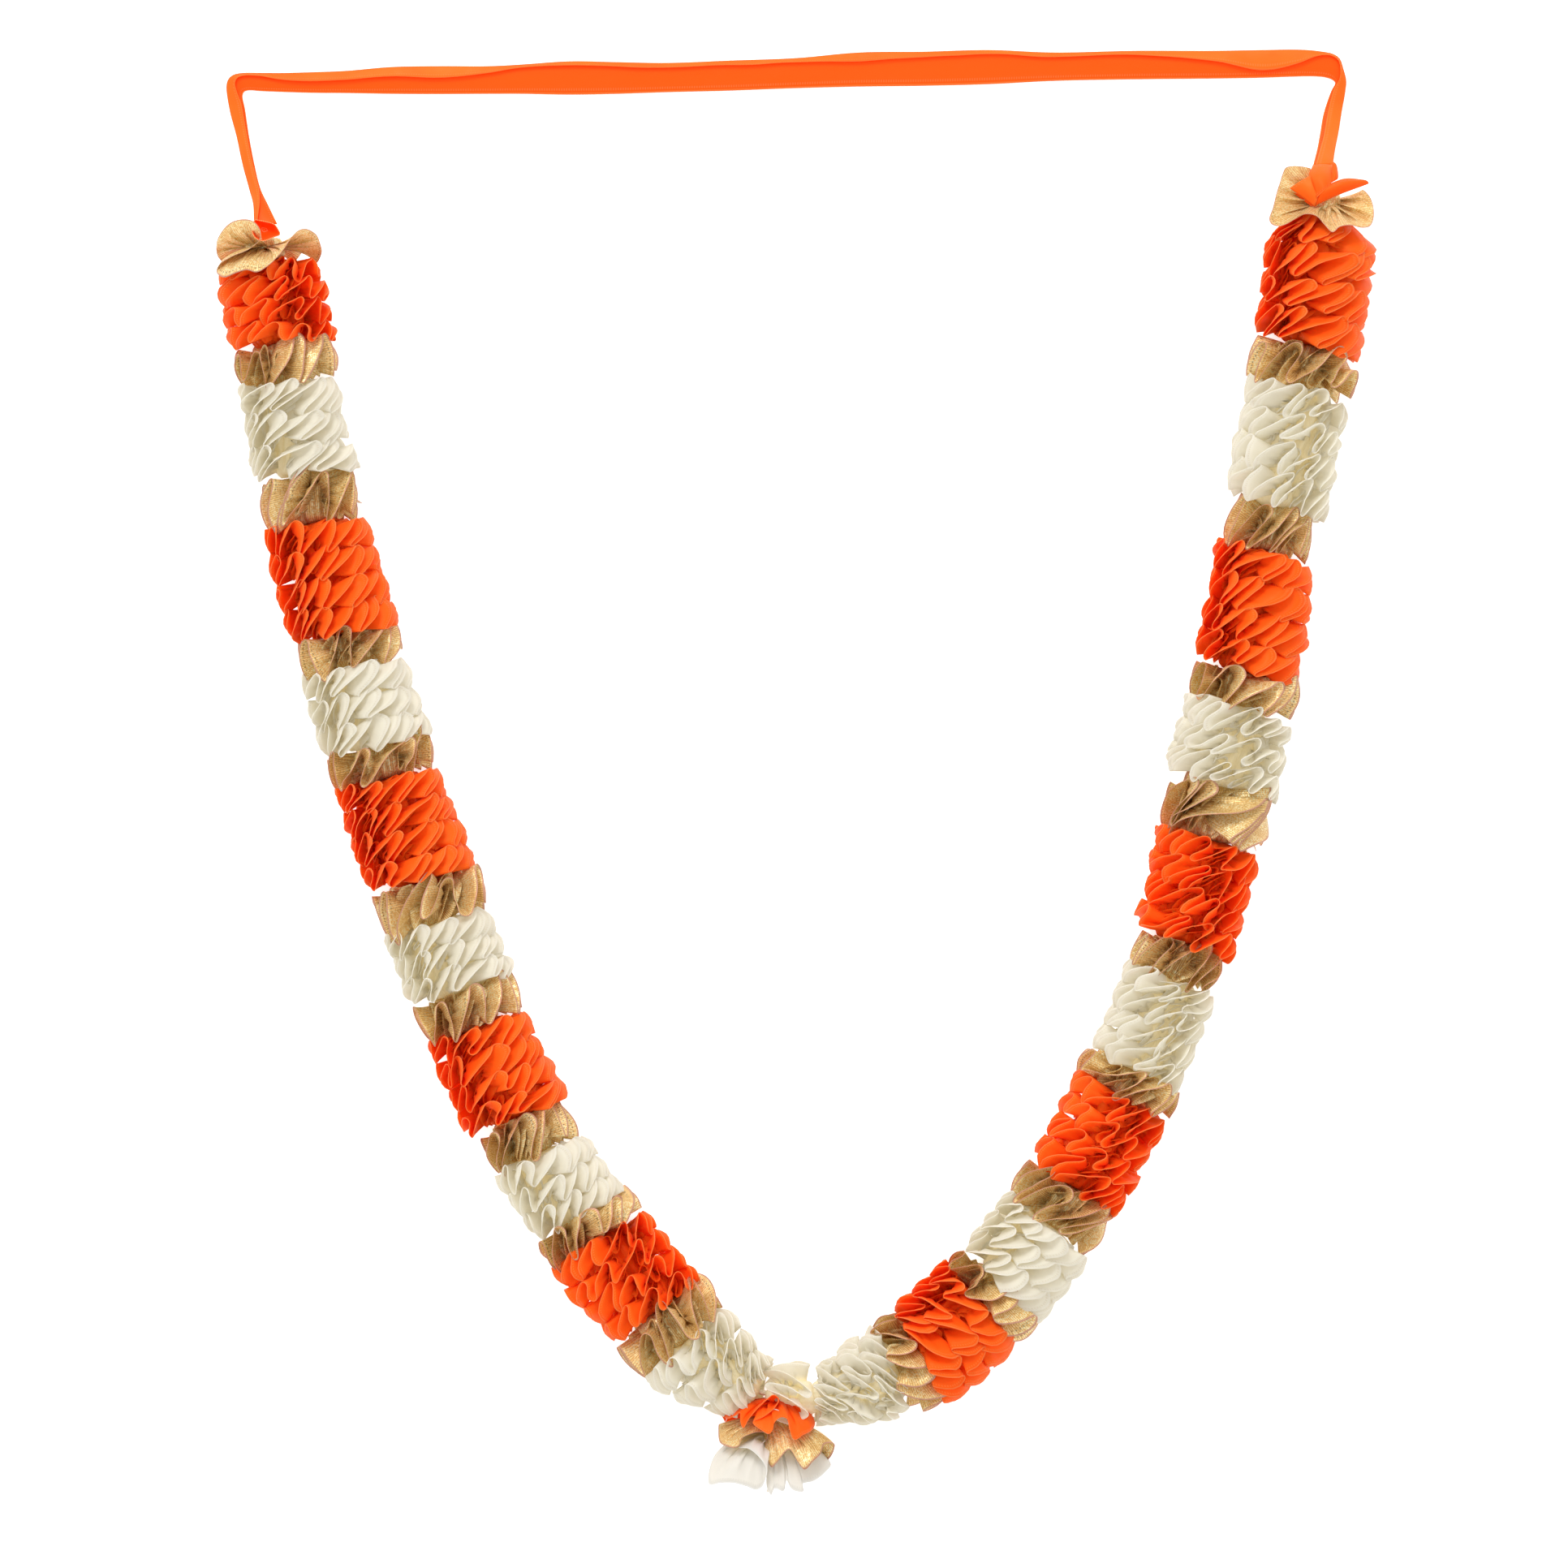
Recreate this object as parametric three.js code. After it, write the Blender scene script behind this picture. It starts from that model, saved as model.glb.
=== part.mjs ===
// Garland of gathered ribbon: two strands of ruffle rolls strung on one thread, joined at the
// bottom in a V with a short pendant below it, and closed at the top by a flat tie ribbon.
// It lies flat on a surface: X is across the garland, Y up along it, Z away from the surface.
// Units are millimetres.
import * as THREE from "three";
import { mergeVertices } from "three/addons/utils/BufferGeometryUtils.js";

// ---- driving dimensions -------------------------------------------------------------------
const RUFFLE_R = 19.6; // outer radius of an orange or ivory roll
const AXIS_Z = 17.6; // height of the thread above the surface: the rolls are pressed flat below
const BORE_R = 2.0; // channel for the thread through each roll
const THREAD_R = 1.0; // stringing thread, doubled and twisted
const GAP = 0.3; // space kept between neighbouring rolls
const SIDES = 12; // sides of a roll's section
const VALLEY = 0.9; // radius between two rows of a roll, as a share of the crest
const TIE_T = 1.4; // thickness of the tie ribbon, which is folded over along its length
const CENTRE = new THREE.Vector3(0.0, 3.6, 0); // moves the rolls' box onto the origin

// Thread's path through each strand, from the tie down to the V (x, y).
const LEFT_PATH = [
  [-194.4, 224.5], [-189.4, 192.9], [-184.4, 164.0], [-178.8, 135.1], [-172.3, 106.2],
  [-164.9, 77.9], [-156.9, 49.6], [-148.1, 21.2], [-138.9, -6.8], [-129.2, -34.5],
  [-118.6, -62.2], [-107.1, -89.4], [-93.5, -115.6], [-77.9, -140.4], [-59.9, -163.7],
  [-39.5, -185.3], [-16.8, -202.4], [-6.2, -206.2],
];
const RIGHT_PATH = [
  [193.5, 244.0], [190.9, 214.2], [187.6, 184.7], [182.3, 155.8], [176.7, 126.8],
  [171.1, 97.6], [165.8, 68.7], [160.2, 39.8], [154.3, 10.9], [147.5, -17.7],
  [139.2, -46.0], [129.2, -73.8], [117.1, -100.9], [103.0, -126.8], [86.4, -151.0],
  [67.0, -173.2], [43.7, -191.5], [16.8, -203.8], [1.8, -206.8],
];
const PENDANT_PATH = [[-7.2, -207.6], [-8.4, -222.0], [-8.9, -232.0], [-9.1, -243.0]];

// Where each roll begins and ends along its thread, measured from the top, and how many turns
// of ribbon it has. The rolls alternate gold, orange, gold, ivory.
const LEFT_CUTS = [
  9.0, 18.0, 48.5, 63.0, 96.5, 115.0, 156.5, 168.5, 198.5, 211.0, 250.5, 266.5, 292.5,
  307.0, 343.0, 358.5, 385.0, 396.0, 429.5, 445.0, 474.0,
];
const RIGHT_CUTS = [
  11.0, 21.5, 68.7, 84.1, 128.0, 144.8, 189.4, 202.1, 231.3, 251.6, 290.0, 303.8, 339.2,
  349.9, 387.3, 403.9, 431.3, 441.3, 470.2, 480.8, 507.5,
];
const LEFT_ROWS = [1, 4, 1, 3, 1, 4, 1, 3, 1, 4, 1, 3, 1, 4, 1, 3, 1, 4, 1, 3];
const RIGHT_ROWS = [1, 4, 1, 4, 1, 4, 1, 3, 1, 4, 1, 4, 1, 4, 1, 3, 1, 3, 1, 3];
const KINDS = ["gold", "orange", "gold", "ivory"];

// Tie ribbon's centre line (x, y, height, width as folded there): up from the left strand,
// across the top and down to the right strand.
const TIE_PATH = [
  [-192.3, 220.4, 17.2, 7.5], [-193.8, 226.3, 14.6, 6.5], [-196.6, 233.3, 9.5, 5.0], [-199.0, 240.4, 4.8, 4.4],
  [-201.2, 251.0, 1.7, 4.7], [-203.0, 258.1, 1.1, 5.4], [-204.4, 267.0, 1.0, 5.6], [-204.7, 271.1, 1.0, 5.6],
  [-203.0, 273.5, 1.0, 5.8], [-198.8, 273.6, 1.0, 6.2], [-188.5, 273.3, 1.0, 6.8], [-164.9, 273.3, 1.0, 7.7],
  [-141.3, 274.1, 1.0, 10.0], [-111.8, 274.2, 1.0, 9.8], [-82.3, 274.9, 1.0, 11.8], [-52.8, 274.9, 1.0, 10.9],
  [-23.3, 275.7, 1.0, 10.6], [6.2, 276.9, 1.0, 11.2], [23.9, 278.0, 1.0, 12.1], [47.5, 278.3, 1.0, 12.1],
  [71.1, 278.9, 1.0, 12.1], [94.7, 279.1, 1.0, 10.0], [124.2, 279.4, 1.0, 9.9], [153.7, 279.8, 1.0, 9.9],
  [177.3, 280.2, 1.0, 10.0], [192.0, 280.0, 1.0, 8.8], [197.9, 278.5, 1.0, 5.9], [200.0, 274.6, 1.0, 4.4],
  [199.1, 270.5, 1.0, 5.0], [197.4, 265.2, 1.4, 6.4], [195.9, 259.9, 3.2, 6.5], [195.0, 254.6, 6.8, 6.8],
  [193.5, 249.3, 11.6, 6.8], [192.3, 244.6, 16.4, 7.0], [192.0, 240.6, 18.6, 8.0],
];

// ---- materials ----------------------------------------------------------------------------
const satin = (name, hex) =>
  Object.assign(new THREE.MeshStandardMaterial({ color: hex, roughness: 0.42, metalness: 0 }), { name });
const MATERIALS = {
  orange: satin("orange_satin", 0xff5a14),
  ivory: satin("ivory_satin", 0xf0ede0),
  gold: Object.assign(
    new THREE.MeshStandardMaterial({ color: 0xc79c57, roughness: 0.38, metalness: 0.7 }),
    { name: "gold_ribbon" },
  ),
  thread: Object.assign(
    new THREE.MeshStandardMaterial({ color: 0xf2eee2, roughness: 0.8, metalness: 0 }),
    { name: "cotton_thread" },
  ),
};

// ---- geometry helpers ---------------------------------------------------------------------
// A planar path with its arc length, sampled from a centripetal curve through the points.
function measuredPath(points) {
  const curve = new THREE.CatmullRomCurve3(
    points.map(([x, y, z = AXIS_Z]) => new THREE.Vector3(x, y, z).add(CENTRE)),
    false,
    "centripetal",
  );
  curve.arcLengthDivisions = 1200;
  const length = curve.getLength();
  return {
    curve,
    length,
    at: (s) => curve.getPointAt(THREE.MathUtils.clamp(s / length, 0, 1)),
    tangent: (s) => curve.getTangentAt(THREE.MathUtils.clamp(s / length, 0, 1)),
  };
}

// One closed roll around the path from s0 to s1: rings of SIDES points with a scalloped
// radius, flat underneath, and a small bore all the way through.
function rollGeometry(path, s0, s1, rows, radius, endTaper) {
  const stations = [];
  const n = rows * 2;
  for (let i = 0; i <= n; i++) {
    const crest = i % 2 === 1;
    let k = crest ? 1 : VALLEY;
    if (i === 0) k = VALLEY * endTaper[0];
    if (i === n) k = VALLEY * endTaper[1];
    stations.push({ s: s0 + ((s1 - s0) * i) / n, r: radius * k });
  }
  const vertices = [];
  const faces = [];
  const up = new THREE.Vector3(0, 0, 1);
  const ring = (s, r, sides, phase, flat) => {
    const first = vertices.length / 3;
    const c = path.at(s);
    const t = path.tangent(s).setZ(0).normalize();
    const side = new THREE.Vector3().crossVectors(t, up);
    for (let k = 0; k < sides; k++) {
      const a = ((k + phase) / sides) * Math.PI * 2;
      const p = c
        .clone()
        .addScaledVector(side, Math.cos(a) * r)
        .addScaledVector(up, Math.sin(a) * r);
      if (flat && Math.sin(a) < -0.9) p.z = 0; // the two lowest corners rest on the surface
      vertices.push(p.x, p.y, p.z);
    }
    return first;
  };
  const outer = stations.map((st) => ring(st.s, st.r, SIDES, 0.5, true));
  const inner = stations
    .filter((_, i) => i % 2 === 0)
    .map((st) => ring(st.s, BORE_R, SIDES / 2, 0.5, false));
  const band = (a, b, sides, flip) => {
    for (let k = 0; k < sides; k++) {
      const m = (k + 1) % sides;
      const quad = [a + k, a + m, b + m, b + k];
      if (flip) quad.reverse();
      faces.push(quad[0], quad[1], quad[2], quad[0], quad[2], quad[3]);
    }
  };
  for (let i = 0; i + 1 < outer.length; i++) band(outer[i], outer[i + 1], SIDES, true);
  for (let i = 0; i + 1 < inner.length; i++) band(inner[i], inner[i + 1], SIDES / 2, false);
  const cap = (o, c, flip) => {
    for (let k = 0; k < SIDES / 2; k++) {
      const o0 = o + 2 * k, o1 = o + 2 * k + 1, o2 = o + ((2 * k + 2) % SIDES);
      const c0 = c + k, c1 = c + ((k + 1) % (SIDES / 2));
      const tris = [[o0, o1, c0], [o1, c1, c0], [o1, o2, c1]];
      for (const t of tris) faces.push(...(flip ? t.reverse() : t));
    }
  };
  cap(outer[0], inner[0], false);
  cap(outer[outer.length - 1], inner[inner.length - 1], true);
  const g = new THREE.BufferGeometry();
  g.setAttribute("position", new THREE.Float32BufferAttribute(vertices, 3));
  g.setIndex(faces);
  g.computeVertexNormals();
  return outward(g);
}

// Turns every face round if the closed mesh came out facing inwards.
function outward(g) {
  const p = g.getAttribute("position"), index = g.getIndex();
  const a = new THREE.Vector3(), b = new THREE.Vector3(), c = new THREE.Vector3();
  let volume = 0;
  for (let i = 0; i < index.count; i += 3) {
    a.fromBufferAttribute(p, index.getX(i));
    b.fromBufferAttribute(p, index.getX(i + 1));
    c.fromBufferAttribute(p, index.getX(i + 2));
    volume += a.dot(b.cross(c));
  }
  if (volume < 0) {
    for (let i = 0; i < index.count; i += 3) {
      const keep = index.getX(i + 1);
      index.setX(i + 1, index.getX(i + 2));
      index.setX(i + 2, keep);
    }
    g.computeVertexNormals();
  }
  return g;
}

// A swept section along a run of points; the section lies in (side, up), and is a list of
// corners, or a function of the share of the length that gives one.
function sweep(points, section, steps) {
  const curve = new THREE.CatmullRomCurve3(points, false, "centripetal");
  const vertices = [], faces = [];
  const n = (typeof section === "function" ? section(0) : section).length;
  for (let i = 0; i <= steps; i++) {
    const c = curve.getPointAt(i / steps);
    const t = curve.getTangentAt(i / steps);
    const flatT = new THREE.Vector3(t.x, t.y, 0).normalize();
    const side = new THREE.Vector3(flatT.y, -flatT.x, 0);
    const up = new THREE.Vector3().crossVectors(side, t).normalize();
    const s = typeof section === "function" ? section(i / steps) : section;
    for (const [u, v] of s) {
      const p = c.clone().addScaledVector(side, u).addScaledVector(up, v);
      vertices.push(p.x, p.y, p.z);
    }
  }
  for (let i = 0; i < steps; i++)
    for (let k = 0; k < n; k++) {
      const m = (k + 1) % n, a = i * n, b = (i + 1) * n;
      faces.push(a + k, a + m, b + m, a + k, b + m, b + k);
    }
  for (let k = 1; k + 1 < n; k++) {
    faces.push(0, k + 1, k);
    const e = steps * n;
    faces.push(e, e + k, e + k + 1);
  }
  const g = new THREE.BufferGeometry();
  g.setAttribute("position", new THREE.Float32BufferAttribute(vertices, 3));
  g.setIndex(faces);
  g.computeVertexNormals();
  return outward(g);
}

const octagon = (r) =>
  Array.from({ length: 8 }, (_, k) => {
    const a = ((k + 0.5) / 8) * Math.PI * 2;
    return [Math.cos(a) * r, Math.sin(a) * r];
  });

const flatStrip = (w, t) => [
  [w / 2, -t / 4], [w / 2, t / 4], [w / 2 - t / 2, t / 2], [-w / 2 + t / 2, t / 2],
  [-w / 2, t / 4], [-w / 2, -t / 4], [-w / 2 + t / 2, -t / 2], [w / 2 - t / 2, -t / 2],
];

// ---- assembly -----------------------------------------------------------------------------
const garland = new THREE.Group();
function add(name, geometry, material, parent = garland) {
  const mesh = new THREE.Mesh(geometry, material);
  mesh.name = name;
  parent.add(mesh);
  return mesh;
}

const left = measuredPath(LEFT_PATH);
const right = measuredPath(RIGHT_PATH);
const pendant = measuredPath(PENDANT_PATH);

function strand(prefix, path, cuts, rows) {
  const group = new THREE.Group();
  for (let i = 0; i < rows.length; i++) {
    const kind = KINDS[i % 4];
    const s0 = cuts[i] + GAP / 2, s1 = cuts[i + 1] - GAP / 2;
    const radius = kind === "gold" ? RUFFLE_R * 0.96 : RUFFLE_R;
    const last = i === rows.length - 1 ? 0.62 : 1;
    const geometry = rollGeometry(path, s0, s1, rows[i], radius, [1, last]);
    const number = String(i + 1).padStart(2, "0");
    add(`${prefix}_${number}_${kind}_ruffle`, geometry, MATERIALS[kind], group);
  }
  garland.add(group);
}
strand("left", left, LEFT_CUTS, LEFT_ROWS);
strand("right", right, RIGHT_CUTS, RIGHT_ROWS);

// Pendant: three single ruffles below the V.
add("pendant_1_orange_ruffle", rollGeometry(pendant, 4.0, 12.4, 1, 14.6, [0.72, 1.05]), MATERIALS.orange);
add("pendant_2_gold_ruffle", rollGeometry(pendant, 12.8, 22.2, 1, 19.4, [0.95, 1]), MATERIALS.gold);
add("pendant_3_ivory_ruffle", rollGeometry(pendant, 22.6, 34.0, 1, 20.6, [1, 0.95]), MATERIALS.ivory);

// Stringing thread: one run from the left tie, round the V and up to the right tie.
const run = [];
for (let s = 7; s < left.length - 2; s += 14) run.push(left.at(s));
run.push(left.at(left.length - 1));
const back = [];
for (let s = 9.5; s < right.length - 2; s += 14) back.push(right.at(s));
back.push(right.at(right.length - 1));
run.push(...back.reverse());
add("stringing_thread", sweep(run, octagon(THREAD_R), 78), MATERIALS.thread);

// Pendant thread: starts just under the main thread and ends inside the lowest ruffle.
const drop = [];
for (const s of [2.6, 10, 20, 33]) drop.push(pendant.at(s));
add("pendant_thread", sweep(drop, octagon(THREAD_R), 8), MATERIALS.thread);

// Tie ribbon, and its two folded ends that are sewn to the ends of the thread.
const tie = TIE_PATH.map(([x, y, z]) => new THREE.Vector3(x, y, z).add(CENTRE));
const tieAt = [0];
for (let i = 1; i < tie.length; i++) tieAt.push(tieAt[i - 1] + tie[i].distanceTo(tie[i - 1]));
const tieWidth = (share) => {
  const s = share * tieAt[tieAt.length - 1];
  let i = 1;
  while (i < tieAt.length - 1 && tieAt[i] < s) i++;
  const k = (s - tieAt[i - 1]) / (tieAt[i] - tieAt[i - 1]);
  return THREE.MathUtils.lerp(TIE_PATH[i - 1][3], TIE_PATH[i][3], k);
};
add("tie_ribbon", sweep(tie, (share) => flatStrip(tieWidth(share), TIE_T), 78), MATERIALS.orange);

function fold(name, outline, z, thickness) {
  const shape = new THREE.Shape(
    outline.map(([x, y]) => new THREE.Vector2(x + CENTRE.x, y + CENTRE.y)),
  );
  const g = new THREE.ExtrudeGeometry(shape, { depth: thickness, bevelEnabled: false });
  g.deleteAttribute("normal");
  g.deleteAttribute("uv");
  g.translate(0, 0, z);
  add(name, mergeVertices(g, 1e-4), MATERIALS.orange);
}
fold("left_tie_end", [[-197.0, 221.6], [-188.0, 220.9], [-187.0, 217.6], [-191.0, 216.2], [-196.2, 217.6]], 19.4, 7.0);
fold("right_tie_end", [[179.6, 236.4], [188.0, 239.6], [198.0, 238.8], [208.0, 237.6], [200.0, 235.0], [189.4, 234.2]], 20.6, 8.0);

export default garland;
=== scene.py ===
"""Satin ribbon garland: two strands of gathered ribbon rolls that meet in a V, a short pendant, and a tie ribbon.
Lengths are in millimetres until a mesh is written, which is in metres. A roll is a ribbon gathered along one edge and
wound round the thread; its outer edge is laid out on the roll's unrolled surface, relaxed there so that its loops rest
against each other, and rolled up again."""

import math

import bpy
import numpy as np
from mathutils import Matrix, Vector


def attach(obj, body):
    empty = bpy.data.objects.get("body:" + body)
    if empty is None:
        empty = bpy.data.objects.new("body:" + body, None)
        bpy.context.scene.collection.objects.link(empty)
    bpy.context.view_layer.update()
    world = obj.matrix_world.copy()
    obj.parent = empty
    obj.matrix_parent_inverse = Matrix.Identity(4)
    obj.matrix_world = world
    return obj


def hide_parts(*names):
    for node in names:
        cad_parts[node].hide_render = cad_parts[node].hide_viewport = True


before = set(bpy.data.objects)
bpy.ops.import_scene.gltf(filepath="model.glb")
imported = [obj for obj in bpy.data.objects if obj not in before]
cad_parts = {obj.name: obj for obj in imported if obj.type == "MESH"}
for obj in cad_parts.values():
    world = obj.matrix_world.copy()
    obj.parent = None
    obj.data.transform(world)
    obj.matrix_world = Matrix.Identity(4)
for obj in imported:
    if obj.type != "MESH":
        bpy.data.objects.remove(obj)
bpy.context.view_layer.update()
scene = bpy.context.scene
TAU = 2 * math.pi
MM = 0.001
PX = 0.295  # mm of the object for one step of the grid that the tie's outline was measured on

# ---------------------------------------------------------------- routes, as in the CAD source
SHIFT = np.array([0.0, 3.6])
AXIS_Z = 17.6
LEFT_PATH = [(-194.4, 224.5), (-189.4, 192.9), (-184.4, 164.0), (-178.8, 135.1), (-172.3, 106.2), (-164.9, 77.9), (-156.9, 49.6), (-148.1, 21.2), (-138.9, -6.8), (-129.2, -34.5), (-118.6, -62.2), (-107.1, -89.4), (-93.5, -115.6), (-77.9, -140.4), (-59.9, -163.7), (-39.5, -185.3), (-16.8, -202.4), (-6.2, -206.2)]
RIGHT_PATH = [(193.5, 244.0), (190.9, 214.2), (187.6, 184.7), (182.3, 155.8), (176.7, 126.8), (171.1, 97.6), (165.8, 68.7), (160.2, 39.8), (154.3, 10.9), (147.5, -17.7), (139.2, -46.0), (129.2, -73.8), (117.1, -100.9), (103.0, -126.8), (86.4, -151.0), (67.0, -173.2), (43.7, -191.5), (16.8, -203.8), (1.8, -206.8)]
PENDANT_PATH = [(-7.2, -207.6), (-8.4, -222.0), (-8.9, -232.0), (-9.1, -243.0)]
LEFT_CUTS = [9.0, 18.0, 48.5, 63.0, 96.5, 115.0, 156.5, 168.5, 198.5, 211.0, 250.5, 266.5, 292.5, 307.0, 343.0, 358.5, 385.0, 396.0, 429.5, 445.0, 474.0]
RIGHT_CUTS = [11.0, 21.5, 68.7, 84.1, 128.0, 144.8, 189.4, 202.1, 231.3, 251.6, 290.0, 303.8, 339.2, 349.9, 387.3, 403.9, 431.3, 441.3, 470.2, 480.8, 507.5]
LEFT_ROWS = [1, 4, 1, 3, 1, 4, 1, 3, 1, 4, 1, 3, 1, 4, 1, 3, 1, 4, 1, 3]
RIGHT_ROWS = [1, 4, 1, 4, 1, 4, 1, 3, 1, 4, 1, 4, 1, 4, 1, 3, 1, 3, 1, 3]
LEFT_WIDE = [128, 135, 129, 129, 121, 135, 129, 135, 132, 139, 146, 140, 133, 136, 121, 128, 134, 141, 141, 138]
RIGHT_WIDE = [129, 138, 139, 135, 109, 130, 135, 143, 135, 138, 115, 126, 134, 133, 131, 135, 138, 147, 128, 121]
KINDS = ["gold", "orange", "gold", "ivory"]
# how steeply the loops of each satin roll lie, in degrees from round the roll
LEFT_SLANT = [16, 12, 32, 20, 11, 16, 21, 34, 27, 18]
RIGHT_SLANT = [23, 42, 25, 10, 19, 26, 32, 30, 32, 9]


class Route:
    """A centripetal Catmull-Rom curve through points, read by its length."""

    def __init__(self, points):
        p = np.array(points, float) + SHIFT
        p = np.vstack([2 * p[0] - p[1], p, 2 * p[-1] - p[-2]])
        out = []
        for i in range(1, len(p) - 2):
            a, b, c, d = p[i - 1 : i + 3]
            t1 = math.dist(a, b) ** 0.5
            t2 = t1 + math.dist(b, c) ** 0.5
            t3 = t2 + math.dist(c, d) ** 0.5
            t = np.linspace(t1, t2, 60, endpoint=False)[:, None]
            A1 = (t1 - t) / t1 * a + t / t1 * b
            A2 = (t2 - t) / (t2 - t1) * b + (t - t1) / (t2 - t1) * c
            A3 = (t3 - t) / (t3 - t2) * c + (t - t2) / (t3 - t2) * d
            B1 = (t2 - t) / t2 * A1 + t / t2 * A2
            B2 = (t3 - t) / (t3 - t1) * A2 + (t - t1) / (t3 - t1) * A3
            out.append((t2 - t) / (t2 - t1) * B1 + (t - t1) / (t2 - t1) * B2)
        out.append(p[-2][None])
        self.p = np.vstack(out)
        e = np.linalg.norm(np.diff(self.p, axis=0), axis=1)
        self.s = np.concatenate([[0], np.cumsum(e)])
        self.length = self.s[-1]
        g = np.gradient(self.p, self.s + np.arange(len(self.s)) * 1e-9, axis=0)
        k = np.ones(31) / 31
        g = np.stack([np.convolve(np.pad(g[:, j], 15, mode="edge"), k, "valid") for j in (0, 1)], 1)
        self.t = g / np.linalg.norm(g, axis=1, keepdims=True)

    def at(self, s):
        """Points and directions at lengths s, which may run past either end."""
        c = np.clip(s, 0, self.length)
        P = np.stack([np.interp(c, self.s, self.p[:, j]) for j in (0, 1)], -1)
        T = np.stack([np.interp(c, self.s, self.t[:, j]) for j in (0, 1)], -1)
        T /= np.linalg.norm(T, axis=-1, keepdims=True)
        return P + T * (s - c)[..., None], T


left, right, hang = Route(LEFT_PATH), Route(RIGHT_PATH), Route(PENDANT_PATH)

# ---------------------------------------------------------------- camera and floor
CENTRE = (-3.835, 20.415)
SPAN = 1932 * PX
DISTANCE = 2.6
camera = bpy.data.objects.new("camera", bpy.data.cameras.new("camera"))
scene.collection.objects.link(camera)
camera.location = (CENTRE[0] * MM, CENTRE[1] * MM, DISTANCE + 0.018)
camera.data.sensor_width = 36
camera.data.lens = 36 * DISTANCE / (SPAN * MM)
camera.data.clip_end = 20
scene.camera = camera


# ---------------------------------------------------------------- material helpers
class Nodes:
    """Short ways to write a node tree."""

    def __init__(self, name):
        self.m = bpy.data.materials.new(name)
        self.m.use_nodes = True
        self.t = self.m.node_tree
        self.t.nodes.clear()

    def new(self, kind, **values):
        n = self.t.nodes.new("ShaderNode" + kind)
        for k, v in values.items():
            setattr(n, k, v)
        return n

    def link(self, a, b):
        self.t.links.new(a, b)

    def put(self, socket, value):
        if isinstance(value, bpy.types.NodeSocket):
            self.link(value, socket)
        elif isinstance(value, (tuple, list)) and len(value) == 3 and socket.type == "RGBA":
            socket.default_value = (*value, 1)
        else:
            socket.default_value = value

    def math(self, op, a, b=None, c=None, clamp=False):
        n = self.new("Math", operation=op, use_clamp=clamp)
        for i, x in enumerate((a, b, c)):
            if x is not None:
                self.put(n.inputs[i], x)
        return n.outputs[0]

    def ramp(self, x, lo, hi, a=0.0, b=1.0):
        n = self.new("MapRange", interpolation_type="SMOOTHSTEP")
        self.put(n.inputs["Value"], x)
        for k, v in zip(("From Min", "From Max", "To Min", "To Max"), (lo, hi, a, b)):
            n.inputs[k].default_value = v
        return n.outputs[0]

    def mix(self, f, a, b):
        n = self.new("Mix", data_type="RGBA")
        self.put(n.inputs[0], f)
        self.put(n.inputs[6], a)
        self.put(n.inputs[7], b)
        return n.outputs[2]

    def noise(self, scale, detail=2.0, rough=0.5, vector=None):
        n = self.new("TexNoise")
        n.inputs["Scale"].default_value = scale
        n.inputs["Detail"].default_value = detail
        n.inputs["Roughness"].default_value = rough
        if vector is not None:
            self.link(vector, n.inputs["Vector"])
        else:
            self.link(self.new("TexCoord").outputs["Object"], n.inputs["Vector"])
        return n.outputs["Fac"]

    def bump(self, height, strength, distance, normal=None):
        n = self.new("Bump")
        n.inputs["Strength"].default_value = strength
        n.inputs["Distance"].default_value = distance
        self.link(height, n.inputs["Height"])
        if normal is not None:
            self.link(normal, n.inputs["Normal"])
        return n.outputs[0]

    def uv(self, name="ribbon"):
        n = self.new("UVMap", uv_map=name)
        s = self.new("SeparateXYZ")
        self.link(n.outputs[0], s.inputs[0])
        return s.outputs[0], s.outputs[1]

    def principled(self, **values):
        n = self.new("BsdfPrincipled")
        for k, v in values.items():
            self.put(n.inputs[k.replace("_", " ")], v)
        return n

    def done(self, shader):
        self.link(shader, self.new("OutputMaterial").inputs[0])
        return self.m


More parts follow.
